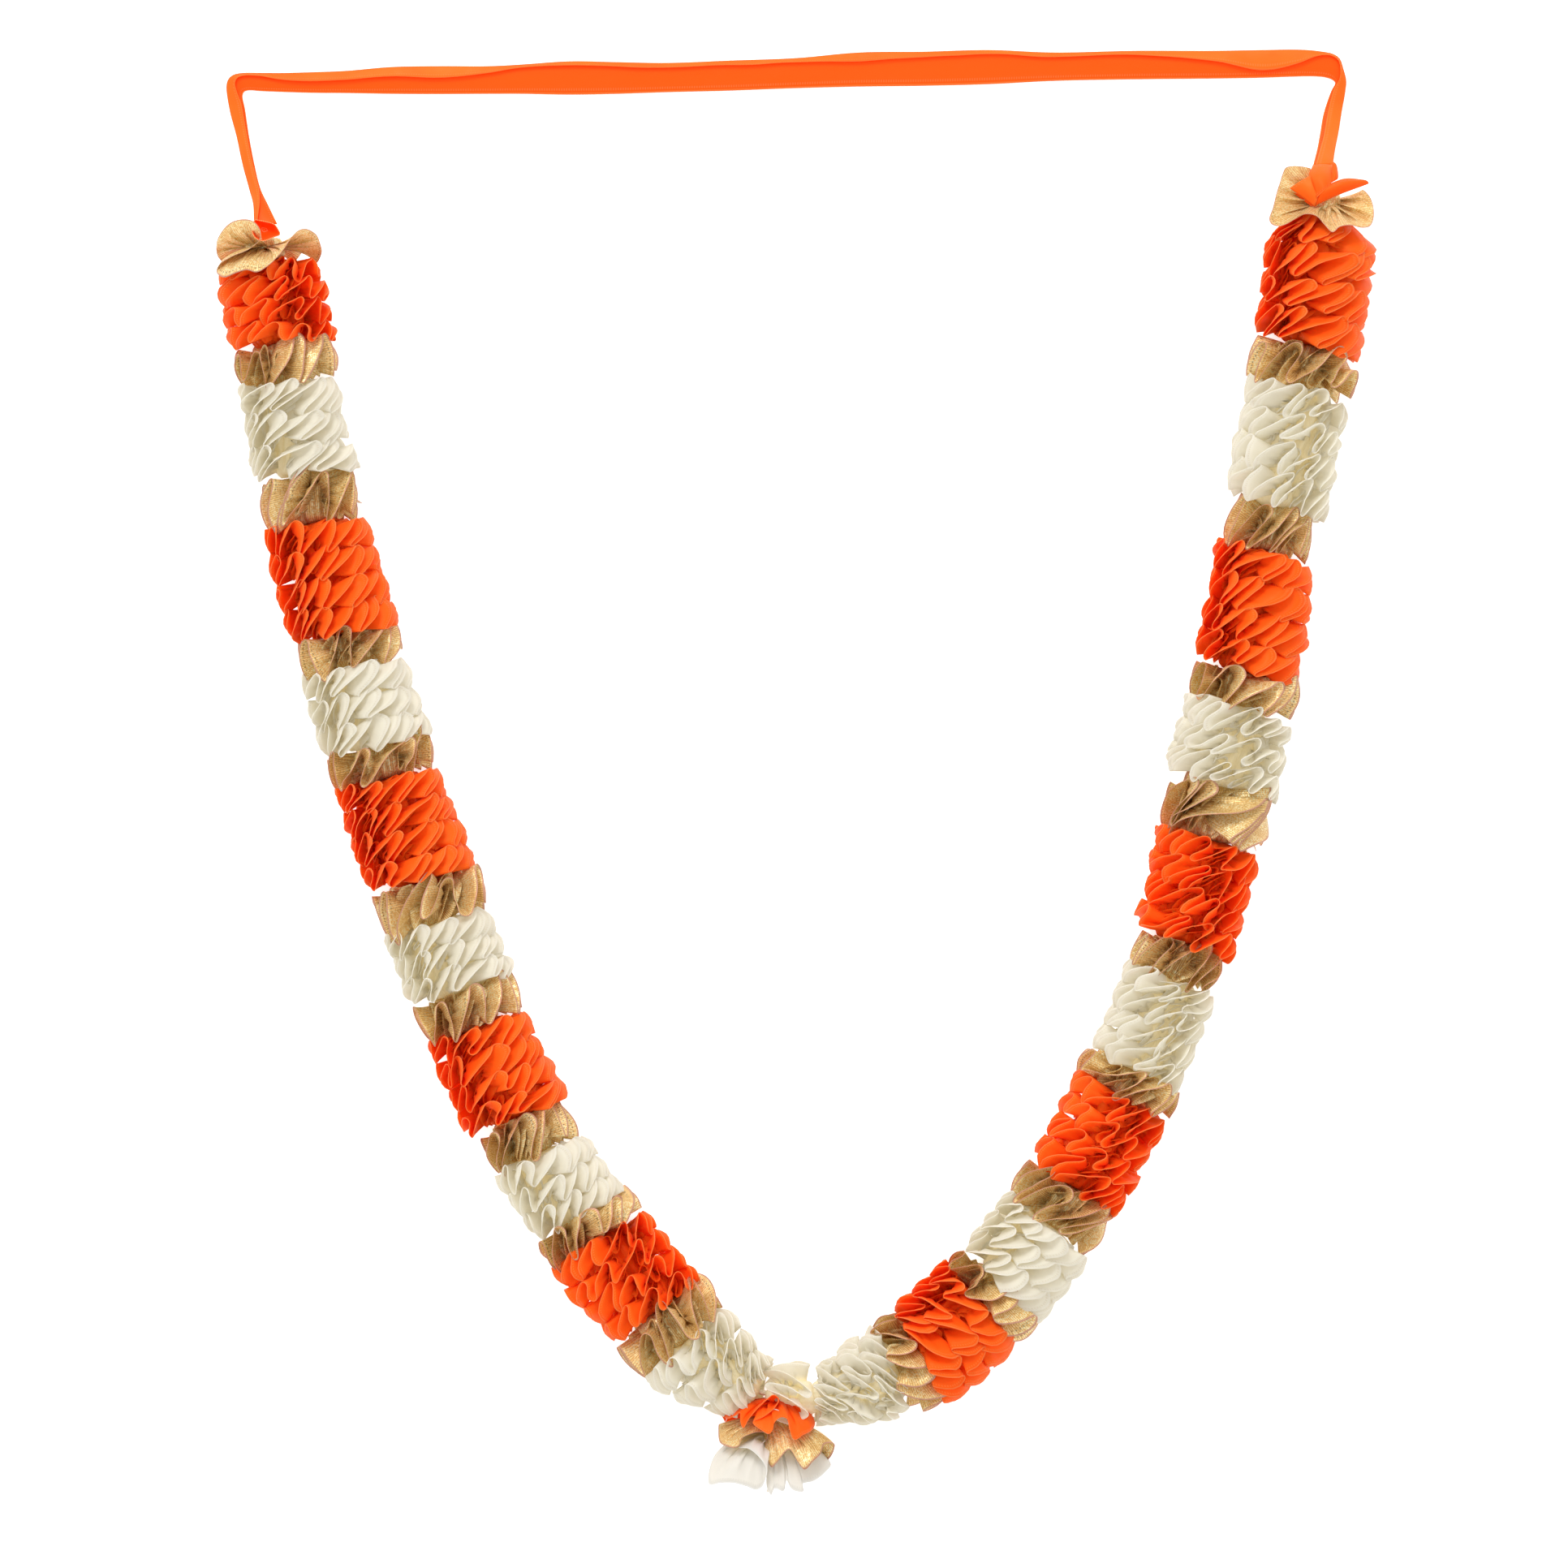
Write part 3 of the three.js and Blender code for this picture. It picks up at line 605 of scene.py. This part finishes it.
def strand(route, name, cuts, rows, wide, slant, seed):
    for i in range(20):
        kind = KINDS[i % 4]
        rng = np.random.default_rng(seed + i)
        at, length = cuts[i], cuts[i + 1] - cuts[i]
        R = wide[i] * PX / 2
        lean = (1 if name == "right" else -1) * (1 if rng.uniform() < 0.8 else -1)
        if kind == "gold":
            opt = dict(rows=1, per_turn=rng.uniform(7.0, 8.8), up=rng.uniform(34, 48), down=rng.uniform(100, 122), height=length + 2.8,
                       tip=rng.uniform(1.6, 2.3), wild=1.1, deep=0.14, flare=1.0, flop=2.0, over=3.0, drop=1.8, rough=1.0, inner=3.0,
                       gap=1.2, pleat=2.6, pleat_step=7, level=True, per_wave=30, across=12, swirl=(lean * rng.uniform(0.3, 0.8), 0.6))
            core, folds = 0.46, 13
        else:
            pitch = length / rows[i]
            turns = (rng.uniform(9.2, 10.2) + (0.4 if kind == "ivory" else 0)) * R / 19.8
            steep = 21.5 + 0.36 * slant[i // 2] + rng.uniform(-1.5, 1.5)
            # the way back down closes the wave, so that the loops keep their distance round the roll
            back = 180 - math.degrees(math.atan2(1, 1 / math.tan(math.radians(steep)) - (TAU * R / turns - 3.4) / (1.17 * pitch)))
            opt = dict(rows=rows[i], per_turn=turns, up=steep, down=back,
                       height=pitch * rng.uniform(1.16, 1.27), tip=rng.uniform(1.3, 1.6), wild=rng.uniform(0.7, 1.0), drop=2.8, over=2.3,
                       deep=rng.uniform(0.06, 0.13), flare=1.0, flop=1.3, pair=rng.uniform(0.15, 0.3), pleat=3.8 if i == 19 else 2.6, settle=60,
                       swirl=(lean * rng.uniform(0.85, 1.15), 0.5))
            core, folds = (0.46 if i == 19 else 0.51), 15
        scale = None
        if node_is_explicit(name, i):
            continue
        if i == 1:  # it goes in under the end ruffle
            scale = lambda S, a=(0.86 if name == "left" else 0.52): a + (1 - a) * ease(np.clip((S + 2.3) / (14 if a < 0.8 else 10), 0, 1))
        if i == 19:
            length += 3 if name == "left" else 5
            scale = lambda S, L=length: 1 - 0.36 * ease(np.clip(S / L, 0, 1)) ** 1.5
        r, phi, S, v, E, w = ruffle(rng, length, radius=R, **opt)
        more, extra = [inner_gathers(rng, route, at, length, R * core, folds, scale)], 0.0
        # shorter loops that lie deeper, between the outer ones
        if kind == "gold":
            inner = dict(opt, per_turn=7.5, height=length + 1, tip=1.6, over=0.5, per_wave=22, across=6, rough=0.5, start=math.pi + 0.4)
        else:
            inner = dict(opt, per_turn=turns * 0.95, tip=1.2, wild=1.0, over=0.5, per_wave=15, across=5, settle=8, rough=0.5, flop=0.8, start=math.pi + 0.25)
        rr, pp, SS, vv, EE, _ = ruffle(np.random.default_rng(seed + 50 + i), length, radius=R * 0.71, **inner)
        Q = wrap(route, at, rr, pp, SS, scale)
        more.append((Q, vv * 0.85, EE))
        extra += float(np.linalg.norm(np.cross(np.diff(Q, axis=0)[:, :-1], np.diff(Q, axis=1)[:-1]), axis=-1).sum()) / 20
        if name == "right" and i == 19:  # small loops of the last row, between the two strands
            rr, pp, SS, vv, EE, _ = ruffle(rng, 17.0, radius=13.8, rows=1, per_turn=6.4, up=36, down=112, height=18.0, tip=1.7, wild=0.8, deep=0.14,
                                           flare=1.0, flop=1.6, over=1.5, drop=1.5, rough=0.7, inner=3.0, gap=1.0, pleat=2.2, level=True, per_wave=30, across=10,
                                           swirl=(0.4, 0.5))
            rr = rr * (1 - 0.3 * np.maximum(0, np.sin(pp)) * np.clip(rr / 13.8, 0, 1))
            more.append((wrap(route, VEE - 8.5, rr, pp, SS), vv, EE))
            more.append(inner_gathers(rng, route, VEE - 8.5, 17.0, 5.8, 9))
            extra += EE[-1]
        place(f"{name}_{i + 1:02d}_{kind}_ruffle", kind, wrap(route, at, r, phi, S, scale), v, E, more, extra)


def node_is_explicit(name, i):
    """The gold ruffles at the tie's two ends are laid out from listed points further down."""
    return i == 0


VEE = right.length + 3.0
strand(left, "left", LEFT_CUTS, LEFT_ROWS, LEFT_WIDE, LEFT_SLANT, 100)
strand(right, "right", RIGHT_CUTS, RIGHT_ROWS, RIGHT_WIDE, RIGHT_SLANT, 200)


# ---------------------------------------------------------------- points measured on the grid
def at_grid(x, y):
    """Grid steps to mm."""
    return np.stack([(np.asarray(x, float) - 979) * PX + SHIFT[0], (1023 - np.asarray(y, float)) * PX + SHIFT[1]], -1)


def through(points, n):
    """n places along a centripetal curve through points of any dimension."""
    p = np.array(points, float)
    p = np.vstack([2 * p[0] - p[1], p, 2 * p[-1] - p[-2]])
    out = []
    for i in range(1, len(p) - 2):
        a, b, c, d = p[i - 1 : i + 3]
        t1 = max(1e-3, math.dist(a[:2], b[:2])) ** 0.5
        t2 = t1 + max(1e-3, math.dist(b[:2], c[:2])) ** 0.5
        t3 = t2 + max(1e-3, math.dist(c[:2], d[:2])) ** 0.5
        t = np.linspace(t1, t2, 24, endpoint=False)[:, None]
        A1 = (t1 - t) / t1 * a + t / t1 * b
        A2 = (t2 - t) / (t2 - t1) * b + (t - t1) / (t2 - t1) * c
        A3 = (t3 - t) / (t3 - t2) * c + (t - t2) / (t3 - t2) * d
        B1 = (t2 - t) / t2 * A1 + t / t2 * A2
        B2 = (t3 - t) / (t3 - t1) * A2 + (t - t1) / (t3 - t1) * A3
        out.append((t2 - t) / (t2 - t1) * B1 + (t - t1) / (t2 - t1) * B2)
    q = np.vstack(out + [p[-2][None]])
    e = np.concatenate([[0], np.cumsum(np.linalg.norm(np.diff(q[:, :2], axis=0), axis=1))])
    return np.stack([np.interp(np.linspace(0, e[-1], n), e, q[:, j]) for j in range(q.shape[1])], 1)


def spot(points, scale, origin):
    """Points (x, y, z) on an enlarged part of the grid, in mm, moved in for how far above the thread they are."""
    q = np.array(points, float)
    xy = at_grid(origin[0] + q[:, 0] / scale, origin[1] + q[:, 1] / scale)
    xy = np.array(CENTRE) + (xy - CENTRE) * (1 - (q[:, 2:] - 18) / (DISTANCE * 1000))
    return np.column_stack([xy, q[:, 2]])


# ---------------------------------------------------------------- pendant: three short skirts, one over the next
NEAR = dict(scale=4.8387, origin=(820, 1600))


def skirt(node, kind, seed, drop, edge, ring=2.4, lift=0.5, out=0.72, pleat=3.2, step=6.5, across=14, rough=0.35, route=hang, near=NEAR, down=0.7, toward=0.22, rise=None, more=()):
    """A ribbon gathered tightly round the thread, drop mm down it, whose free edge runs through edge."""
    rng = np.random.default_rng(seed)
    e = spot(edge, **near)
    e = through(np.vstack([e, e[:1]]), int(len(edge) * 16))[:-1]
    n = len(e)
    C, T = route.at(np.array([drop]))
    c = np.array([C[0, 0], C[0, 1], AXIS_Z])
    ang = np.unwrap(np.arctan2(e[:, 0] - c[0], e[:, 2] - c[2]))
    E = np.concatenate([[0], np.cumsum(np.linalg.norm(np.diff(e, axis=0), axis=1))])
    t = np.linspace(0, 1, n)
    ang = 0.6 * low_pass(ang, n // 9) + 0.4 * (ang[0] + (ang[-1] - ang[0]) * t)
    A = c + ring * np.stack([np.sin(ang), 0 * ang, np.cos(ang)], 1)
    K = A + (e - A) * [out, toward, out if rise is None else rise] + np.array([0, lift, 0])
    v = np.linspace(0, 1, across + 1)[None, :, None]
    P = (1 - v) ** 2 * A[:, None] + 2 * v * (1 - v) * K[:, None] + v * v * e[:, None]
    k = (1 - v[..., 0]) ** 1.3 * np.minimum(1, v[..., 0] * 6 + 0.25)
    ph = (TAU * E / step + 1.4 * wave(rng, n, 9))[:, None]
    tan = np.stack([np.cos(ang), 0 * ang, -np.sin(ang)], 1)[:, None]
    rad = np.stack([np.sin(ang), 0 * ang, np.cos(ang)], 1)[:, None]
    P = P + tan * (pleat * np.cos(ph) * k)[..., None] + rad * (0.5 * pleat * np.sin(ph) * k)[..., None]
    P[..., 1] -= down * pleat * (1 + np.sin(ph)) * k
    soft = v[..., 0] * (1 - v[..., 0]) * 4
    P[..., 2] += rough * 2.2 * wave(rng, n, 11)[:, None] * soft
    P[..., 1] += rough * wave(rng, n, 14)[:, None] * soft
    return place(node, kind, P, v[0, :, 0], E, more)


# the lowest skirt takes the greyer copy of the ivory satin: painted shade
skirt("pendant_3_ivory_ruffle", "pale", 31, 11.5, [
    (330, 870, 10), (280, 925, 15), (262, 1010, 20), (278, 1092, 25), (345, 1086, 27.5), (410, 1093, 28.5), (480, 1122, 29), (530, 1146, 29.5), (562, 1135, 31), (575, 1112, 33),
    (592, 1035, 34), (548, 955, 33), (492, 905, 30), (440, 893, 27), (470, 885, 24), (545, 930, 25), (590, 1040, 28), (600, 1140, 30), (628, 1180, 31), (648, 1142, 30.5),
    (712, 1152, 30), (728, 1088, 29), (765, 1138, 29.5), (832, 1147, 29), (822, 1106, 28), (890, 1080, 27), (945, 1030, 24), (972, 990, 19), (955, 950, 13),
    (900, 1010, 8), (820, 960, 5), (740, 1040, 4), (670, 980, 4), (590, 1060, 4), (510, 990, 4.5), (430, 1050, 6), (360, 960, 7)], ring=2.6, pleat=2.4, step=9)
skirt("pendant_2_gold_ruffle", "gold", 32, 5.5, [
    (330, 800, 8), (303, 748, 13), (303, 800, 17), (320, 848, 21), (368, 876, 25), (414, 893, 28), (444, 882, 30), (452, 850, 31), (500, 820, 31), (560, 802, 30), (605, 812, 28.5),
    (590, 900, 28), (600, 975, 31), (622, 1016, 33), (655, 985, 33.5), (741, 893, 32.5), (792, 962, 33.5), (835, 1010, 34), (880, 965, 33), (920, 920, 30), (938, 866, 26),
    (988, 873, 22), (955, 962, 18), (925, 940, 12), (860, 880, 7), (790, 930, 5), (720, 860, 4), (650, 930, 4), (580, 870, 4), (500, 920, 5), (430, 860, 6), (370, 880, 7)], ring=2.6, out=0.68, pleat=3.4)
skirt("pendant_1_orange_ruffle", "orange", 33, -1.0, [
    (345, 730, 9), (322, 690, 15), (350, 714, 21), (405, 704, 26), (446, 688, 29), (455, 740, 31.5), (473, 778, 33.5), (505, 725, 33.5), (548, 668, 32.5), (600, 615, 31), (652, 576, 30), (682, 600, 30),
    (655, 652, 31.5), (590, 707, 33.5), (530, 743, 34.5), (575, 786, 35.5), (618, 807, 36), (641, 780, 35.5), (655, 735, 34), (695, 704, 33.5), (737, 718, 34.5), (745, 765, 35.5), (779, 834, 35),
    (830, 806, 33), (875, 779, 28), (882, 748, 22), (868, 715, 16), (845, 760, 9), (780, 720, 6), (715, 780, 4.5), (650, 710, 4.5), (580, 780, 4.5), (510, 710, 5), (440, 760, 6.5)], ring=2.4, lift=1.2, pleat=2.6)

# the first ruffle on the left: a fan each side of the tie's end, and a broad fold in front of them
skirt("left_01_gold_ruffle", "gold", 41, 12.8, [
    (100, 620, 8), (45, 572, 13), (46, 500, 19), (74, 438, 24), (120, 394, 28), (188, 374, 31), (236, 384, 33), (268, 430, 33.5), (262, 480, 34), (210, 530, 34), (120, 575, 33), (66, 612, 30),
    (56, 644, 29), (90, 674, 34), (150, 654, 37.5), (200, 640, 39), (250, 652, 39.7), (296, 628, 39.8), (345, 584, 39), (392, 528, 37), (436, 468, 34.5), (480, 432, 32), (524, 425, 29), (566, 452, 25),
    (584, 508, 20), (592, 548, 15), (560, 600, 10), (500, 520, 6), (420, 600, 4.5), (340, 510, 4), (260, 600, 4), (180, 520, 5)], ring=1.5, lift=0.0, out=0.8, pleat=2.8, step=7.5,
    route=left, near=dict(scale=4.1667, origin=(255, 180)), down=0.0, more=[inner_gathers(np.random.default_rng(42), left, 10.0, 8.0, 6.5, 11)])

# the first ruffle on the right: it stands up flat on the left of the tie's end, dips under it, and folds over the roll below
skirt("right_01_gold_ruffle", "gold", 43, 15.5, [
    (405, 150, 20), (360, 138, 21.5), (300, 134, 23), (252, 146, 24), (228, 190, 25), (206, 250, 26.5), (178, 330, 28.5), (152, 430, 30.5), (128, 505, 32), (150, 538, 34), (205, 548, 35),
    (262, 530, 35), (310, 500, 34), (368, 466, 32.5), (430, 460, 32), (482, 478, 33), (530, 530, 35), (580, 582, 37), (622, 545, 36.5), (690, 532, 35.5), (760, 548, 33), (812, 540, 30),
    (842, 480, 27), (846, 400, 25), (822, 330, 23), (784, 298, 19), (770, 330, 13), (780, 420, 8), (700, 520, 5), (600, 440, 4.5), (500, 540, 4), (400, 440, 4), (300, 530, 5),
    (215, 430, 7), (250, 320, 10), (330, 210, 14), (395, 160, 17)], ring=1.5, lift=0.0, out=0.8, pleat=2.8, step=7.5,
    route=right, near=dict(scale=5.5556, origin=(1540, 180)), down=0.0, toward=0.7, rise=0.5, more=[inner_gathers(np.random.default_rng(44), right, 12.5, 8.0, 6.0, 11)])

# ---------------------------------------------------------------- tie ribbon: one satin ribbon folded over along its length
TIE, TIE_END = (satin(n, (1.0, 0.20, 0.018), (1.0, 0.165, 0.013), (1.0, 0.25, 0.045), (1.0, 0.62, 0.32), 0.30, (1.0, 0.62, 0.3), rough=0.38, edge=0.0127, both=True, dots=d, hem=h) for n, d, h in (("tie_satin", 0.10, 0.0006), ("tie_end_satin", 1.0, -0.0003)))
# stations: outer edge x, y and inner edge x, y in grid steps, height of the ribbon in mm, width of the flap in steps
STATIONS = [
    (314, 276, 341.5, 276, 17.2, 2), (313.6, 267, 337, 267, 16.2, 3), (312, 250, 328.5, 250, 13.4, 6), (306.7, 232.4, 319, 231, 9.5, 10),
    (296.4, 198, 309.5, 197, 3.9, 12), (288.6, 163.5, 302.4, 162, 1.5, 12.5), (280, 131, 297.3, 128, 1.1, 15), (276, 108, 294.5, 115, 1.0, 14),
    (275.8, 99, 294.8, 110, 1.0, 12), (278.5, 91.5, 297, 107, 1.0, 8), (285, 87, 301, 105.8, 1.0, 4), (296, 85.3, 307, 105.7, 1.0, 2),
    (314, 85.3, 316, 106.5, 1.0, 3), (340, 85.5, 340, 107.5, 1.0, 8), (380, 84.5, 380, 108.7, 1.0, 9.5), (420, 83, 420, 109, 1.0, 9.5),
    (480, 78, 480, 110, 1.0, 11), (540, 77, 540, 110.3, 1.0, 14), (600, 77, 600, 110, 1.0, 8), (640, 75, 640, 110, 1.0, 3),
    (700, 71, 700, 111, 1.0, 4), (760, 72, 760, 110, 1.0, 4), (820, 73, 820, 108, 1.0, 4), (900, 70, 900, 106, 1.0, 4),
    (980, 67, 980, 103, 1.0, 5), (1060, 60, 1060, 101, 1.0, 10), (1140, 59, 1140, 100, 1.0, 7), (1220, 57, 1220, 98, 1.0, 4),
    (1300, 60, 1300, 94, 1.0, 4), (1400, 58, 1400, 92, 1.0, 4), (1500, 58, 1500, 91, 1.0, 13), (1560, 57, 1560, 90, 1.0, 25),
    (1606, 56.6, 1600, 88.6, 1.0, 16), (1630, 58.5, 1622, 88.3, 1.0, 5), (1647, 62, 1637, 89.5, 1.0, 2), (1655, 68, 1645, 92, 1.0, 3),
    (1659, 80, 1649, 95, 1.0, 6), (1662, 93, 1649.5, 98, 1.0, 11), (1661, 106, 1645, 106, 1.0, 14), (1656, 133, 1635, 135, 2.3, 17),
    (1651, 159, 1629.5, 161, 6.8, 18), (1645.5, 181, 1624.5, 182, 12.4, 18), (1642.3, 196, 1620, 197, 16.6, 19), (1641, 204, 1618, 204, 18.4, 20),
]


st_in = np.array(STATIONS)
both = np.concatenate([at_grid((st_in[:, 0] + st_in[:, 2]) / 2, (st_in[:, 1] + st_in[:, 3]) / 2), at_grid(st_in[:, 0], st_in[:, 1]), at_grid(st_in[:, 2], st_in[:, 3]), st_in[:, 4:5], st_in[:, 5:6] * PX], 1)
run = through(both, 520)
mid, outer, inner_edge, lift, flap = run[:, :2], run[:, 2:4], run[:, 4:6], run[:, 6], run[:, 7]
wide = np.linalg.norm(outer - inner_edge, axis=1)
flap = np.clip(flap + 0.35 * wave(np.random.default_rng(7), len(run), 14), 0.5, wide - 0.4)
side = (outer - inner_edge) / wide[:, None]
n_main, n_turn, n_flap = 9, 4, 6
# tone fills the shade attribute, painted shade: 0 gives the main run the satin's shaded colour, 1 leaves the flap
# folded over it in its lit colour, and the turn goes between them
off, high, tone, fold_v = [], [], [], []
ripple = wave(np.random.default_rng(8), len(run), 30)
for k in range(n_main):
    a = k / (n_main - 1)
    off.append(-wide / 2 + wide * a)
    high.append(lift + 0.55 * math.sin(math.pi * a) * (0.6 + 0.5 * ripple) - 0.35 + 0.0 * lift)
    tone.append(np.zeros(len(run)))
    fold_v.append(wide * a)
for k in range(1, n_turn):
    a = k / n_turn * math.pi
    off.append(wide / 2 + 0.3 * math.sin(a))
    high.append(lift - 0.35 + 0.35 * (1 - math.cos(a)))
    tone.append(np.full(len(run), 0.5 - 0.5 * math.cos(a)))
    fold_v.append(wide + 0.5 * a / math.pi)
for k in range(n_flap):
    a = k / (n_flap - 1)
    off.append(wide / 2 - flap * a)
    high.append(lift + 0.35 + 0.75 * a**0.7 + 0.35 * ripple * a + 0.5 * np.sin(math.pi * np.clip((wide - flap * a) / wide, 0, 1)))
    tone.append(np.ones(len(run)))
    fold_v.append(wide + 0.5 + flap * a)
off, high, tone, fold_v = (np.stack(a, 1) for a in (off, high, tone, fold_v))
P = np.concatenate([mid[:, None, :] + side[:, None, :] * off[..., None], np.maximum(high, 0.2)[..., None]], -1)
along = np.concatenate([[0], np.cumsum(np.linalg.norm(np.diff(np.column_stack([mid, lift]), axis=0), axis=1))])
tie = shell("tie_ribbon_satin", [cloth(P, np.linspace(0, 1, P.shape[1]), along, 12.7, 0.22, tone)], TIE)
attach(tie, "root")
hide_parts("tie_ribbon")


def patch(edges, nu=16, nv=12, bulge=0.0, seed=0, rough=0.0):
    """A surface between four border curves (top, right, bottom, left as lists of x, y in grid steps and z in mm),
    blended across."""
    def curve(pts, n):
        q = np.array(pts, float)
        q = np.column_stack([at_grid(q[:, 0], q[:, 1]), q[:, 2]])
        return through(q, n) if len(q) > 2 else q[0] + (q[1] - q[0]) * np.linspace(0, 1, n)[:, None]

    top, rgt, low, lft = (curve(e, n) for e, n in zip(edges, (nu, nv, nu, nv)))
    u, v = np.linspace(0, 1, nu)[:, None, None], np.linspace(0, 1, nv)[None, :, None]
    P = (1 - v) * top[:, None] + v * low[:, None] + (1 - u) * lft[None] + u * rgt[None]
    P -= (1 - u) * (1 - v) * top[0] + u * (1 - v) * top[-1] + (1 - u) * v * low[0] + u * v * low[-1]
    P[..., 2] += bulge * (np.sin(math.pi * u) * np.sin(math.pi * v))[..., 0]
    return P


# left end: the ribbon curls round into a small open loop where it is sewn to the strand
curl = through(spot([(370, 566, 27.5), (445, 580, 27.8), (520, 604, 28.2), (548, 640, 28.6), (562, 682, 30), (520, 700, 32.5), (480, 716, 33.5), (430, 730, 33.8), (375, 710, 33), (348, 662, 31), (350, 600, 28.6), (370, 566, 27.5)],
                    scale=6.25, origin=(255, 180)), 60)
hub = spot([(440, 640, 24.0)], scale=6.25, origin=(255, 180))[0]
rows_up = np.concatenate([[0, 0.0015], np.linspace(0.06, 1, 11)])[None, :, None]
P = hub + (curl[:, None, :] - hub) * [1, 1, 0] * (0.004 + 0.996 * rows_up**0.62)
P[..., 2] = hub[2] + (curl[:, None, 2] - hub[2]) * rows_up[..., 0]**1.7
P[..., 2] += 0.35 * wave(np.random.default_rng(9), 60, 9)[:, None] * rows_up[..., 0]
area = float(np.linalg.norm(np.cross(np.diff(P, axis=0)[:, :-1], np.diff(P, axis=1)[:-1]), axis=-1).sum())
# painted shade: no shade values are given, so the whole curl takes the tie satin's shaded colour
end = shell("left_tie_end_satin", [cloth(P, rows_up[0, :, 0], np.linspace(0, 38, 60), 12.7, 0.22)], TIE_END)
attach(end, "root")
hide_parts("left_tie_end")

# right end: the ribbon is folded into a small bow
def on(x, y, z):
    return (1540 + x / 6.03, 40 + y / 6.03, z)


bits = [
    patch([[on(468, 986, 19.2), on(540, 984, 20.2), on(611, 986, 19.0)], [on(611, 986, 19.0), on(616, 1060, 22.6), on(588, 1140, 26.2)],
           [on(482, 1245, 26.8), on(530, 1195, 27.6), on(588, 1140, 26.2)], [on(468, 986, 19.2), on(432, 1080, 23.6), on(482, 1245, 26.8)]], bulge=0.9),
    patch([[on(438, 1075, 24.6), on(360, 1120, 25.0), on(286, 1168, 24.4)], [on(286, 1168, 24.4), on(370, 1225, 24.0), on(470, 1300, 25.4)],
           [on(492, 1235, 26.4), on(485, 1265, 26.2), on(470, 1300, 25.4)], [on(438, 1075, 24.6), on(455, 1150, 26.4), on(492, 1235, 26.4)]], bulge=0.7),
    patch([[on(586, 1136, 25.6), on(700, 1098, 25.2), on(850, 1106, 23.6)], [on(850, 1106, 23.6), on(868, 1118, 23.4), on(876, 1132, 23.2)],
           [on(472, 1300, 25.0), on(640, 1222, 25.4), on(876, 1132, 23.2)], [on(586, 1136, 25.6), on(520, 1200, 27.4), on(472, 1300, 25.0)]], bulge=1.2),
    patch([[on(612, 962, 20.5), on(634, 985, 21.5), on(646, 1040, 22.5)], [on(646, 1040, 22.5), on(646, 1085, 23.6), on(640, 1102, 24.2)],
           [on(590, 1130, 25.0), on(618, 1115, 24.8), on(640, 1102, 24.2)], [on(612, 962, 20.5), on(598, 1050, 23.2), on(590, 1130, 25.0)]], bulge=0.8),
    patch([[on(290, 1180, 22.6), on(380, 1130, 22.9), on(470, 1090, 22.2)], [on(470, 1090, 22.2), on(500, 1160, 22.8), on(520, 1270, 22.6)],
           [on(462, 1312, 23.2), on(490, 1295, 23.0), on(520, 1270, 22.6)], [on(290, 1180, 22.6), on(370, 1240, 22.4), on(462, 1312, 23.2)]], bulge=0.4),
]
parts = []
area = 0.0
# painted shade: the shade attribute paints the first part from lit at its top edge to shaded at its bottom edge, the
# left petal lit, and the other parts shaded
for k, q in enumerate(bits):
    e = np.concatenate([[0], np.cumsum(np.linalg.norm(np.diff(q[:, q.shape[1] // 2], axis=0), axis=1))])
    parts.append(cloth(q, np.linspace(0, 1, q.shape[1]), e, 12.7, 0.24, np.broadcast_to(np.linspace(0.9, 0.0, q.shape[1])[None], q.shape[:2]) if k == 0 else np.full(q.shape[:2], 0.8 if k == 1 else 0.25)))
    area += float(np.linalg.norm(np.cross(np.diff(q, axis=0)[:, :-1], np.diff(q, axis=1)[:-1]), axis=-1).sum())
bow = shell("right_tie_end_satin", parts, TIE)
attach(bow, "root")
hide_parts("right_tie_end")

# ---------------------------------------------------------------- threads keep their CAD shape
for node in ("stringing_thread", "pendant_thread"):
    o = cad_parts[node]
    o = o["object"] if isinstance(o, dict) else o
    o.data.materials.clear()
    o.data.materials.append(thread)

# ---------------------------------------------------------------- floor and light
floor_mesh = bpy.data.meshes.new("floor")
floor_mesh.from_pydata([(-4, -4, 0), (4, -4, 0), (4, 4, 0), (-4, 4, 0)], [], [(0, 1, 2, 3)])
floor = bpy.data.objects.new("floor", floor_mesh)
scene.collection.objects.link(floor)
N = Nodes("pale_floor")
p = N.principled(Base_Color=(0.93, 0.93, 0.93), Roughness=0.9)
p.inputs["Specular IOR Level"].default_value = 0.1
p.inputs["Emission Color"].default_value = (1, 1, 1, 1)
p.inputs["Emission Strength"].default_value = 0.5
floor_mesh.materials.append(N.done(p.outputs[0]))

world = bpy.data.worlds.new("studio")
scene.world = world
world.use_nodes = True
world.node_tree.nodes["Background"].inputs[0].default_value = (1, 1, 1, 1)
world.node_tree.nodes["Background"].inputs[1].default_value = 1.1


def sun(name, towards, strength, angle, colour=(1, 1, 1)):
    """Soft light that comes from the direction towards."""
    d = bpy.data.lights.new(name, "SUN")
    d.energy = strength
    d.angle = math.radians(angle)
    d.color = colour
    o = bpy.data.objects.new(name, d)
    o.location = Vector(towards).normalized() * 3
    o.rotation_euler = Vector(towards).to_track_quat("Z", "Y").to_euler()
    scene.collection.objects.link(o)
    return o


sun("key", (-0.25, 1.0, 1.0), 1.45, 22)
scene.cycles.max_bounces = 16
scene.cycles.diffuse_bounces = 9
scene.cycles.transmission_bounces = 9
scene.cycles.transparent_max_bounces = 24

scene.view_settings.view_transform = "Standard"
scene.view_settings.look = "None"
scene.view_settings.exposure = 0
scene.view_settings.gamma = 1
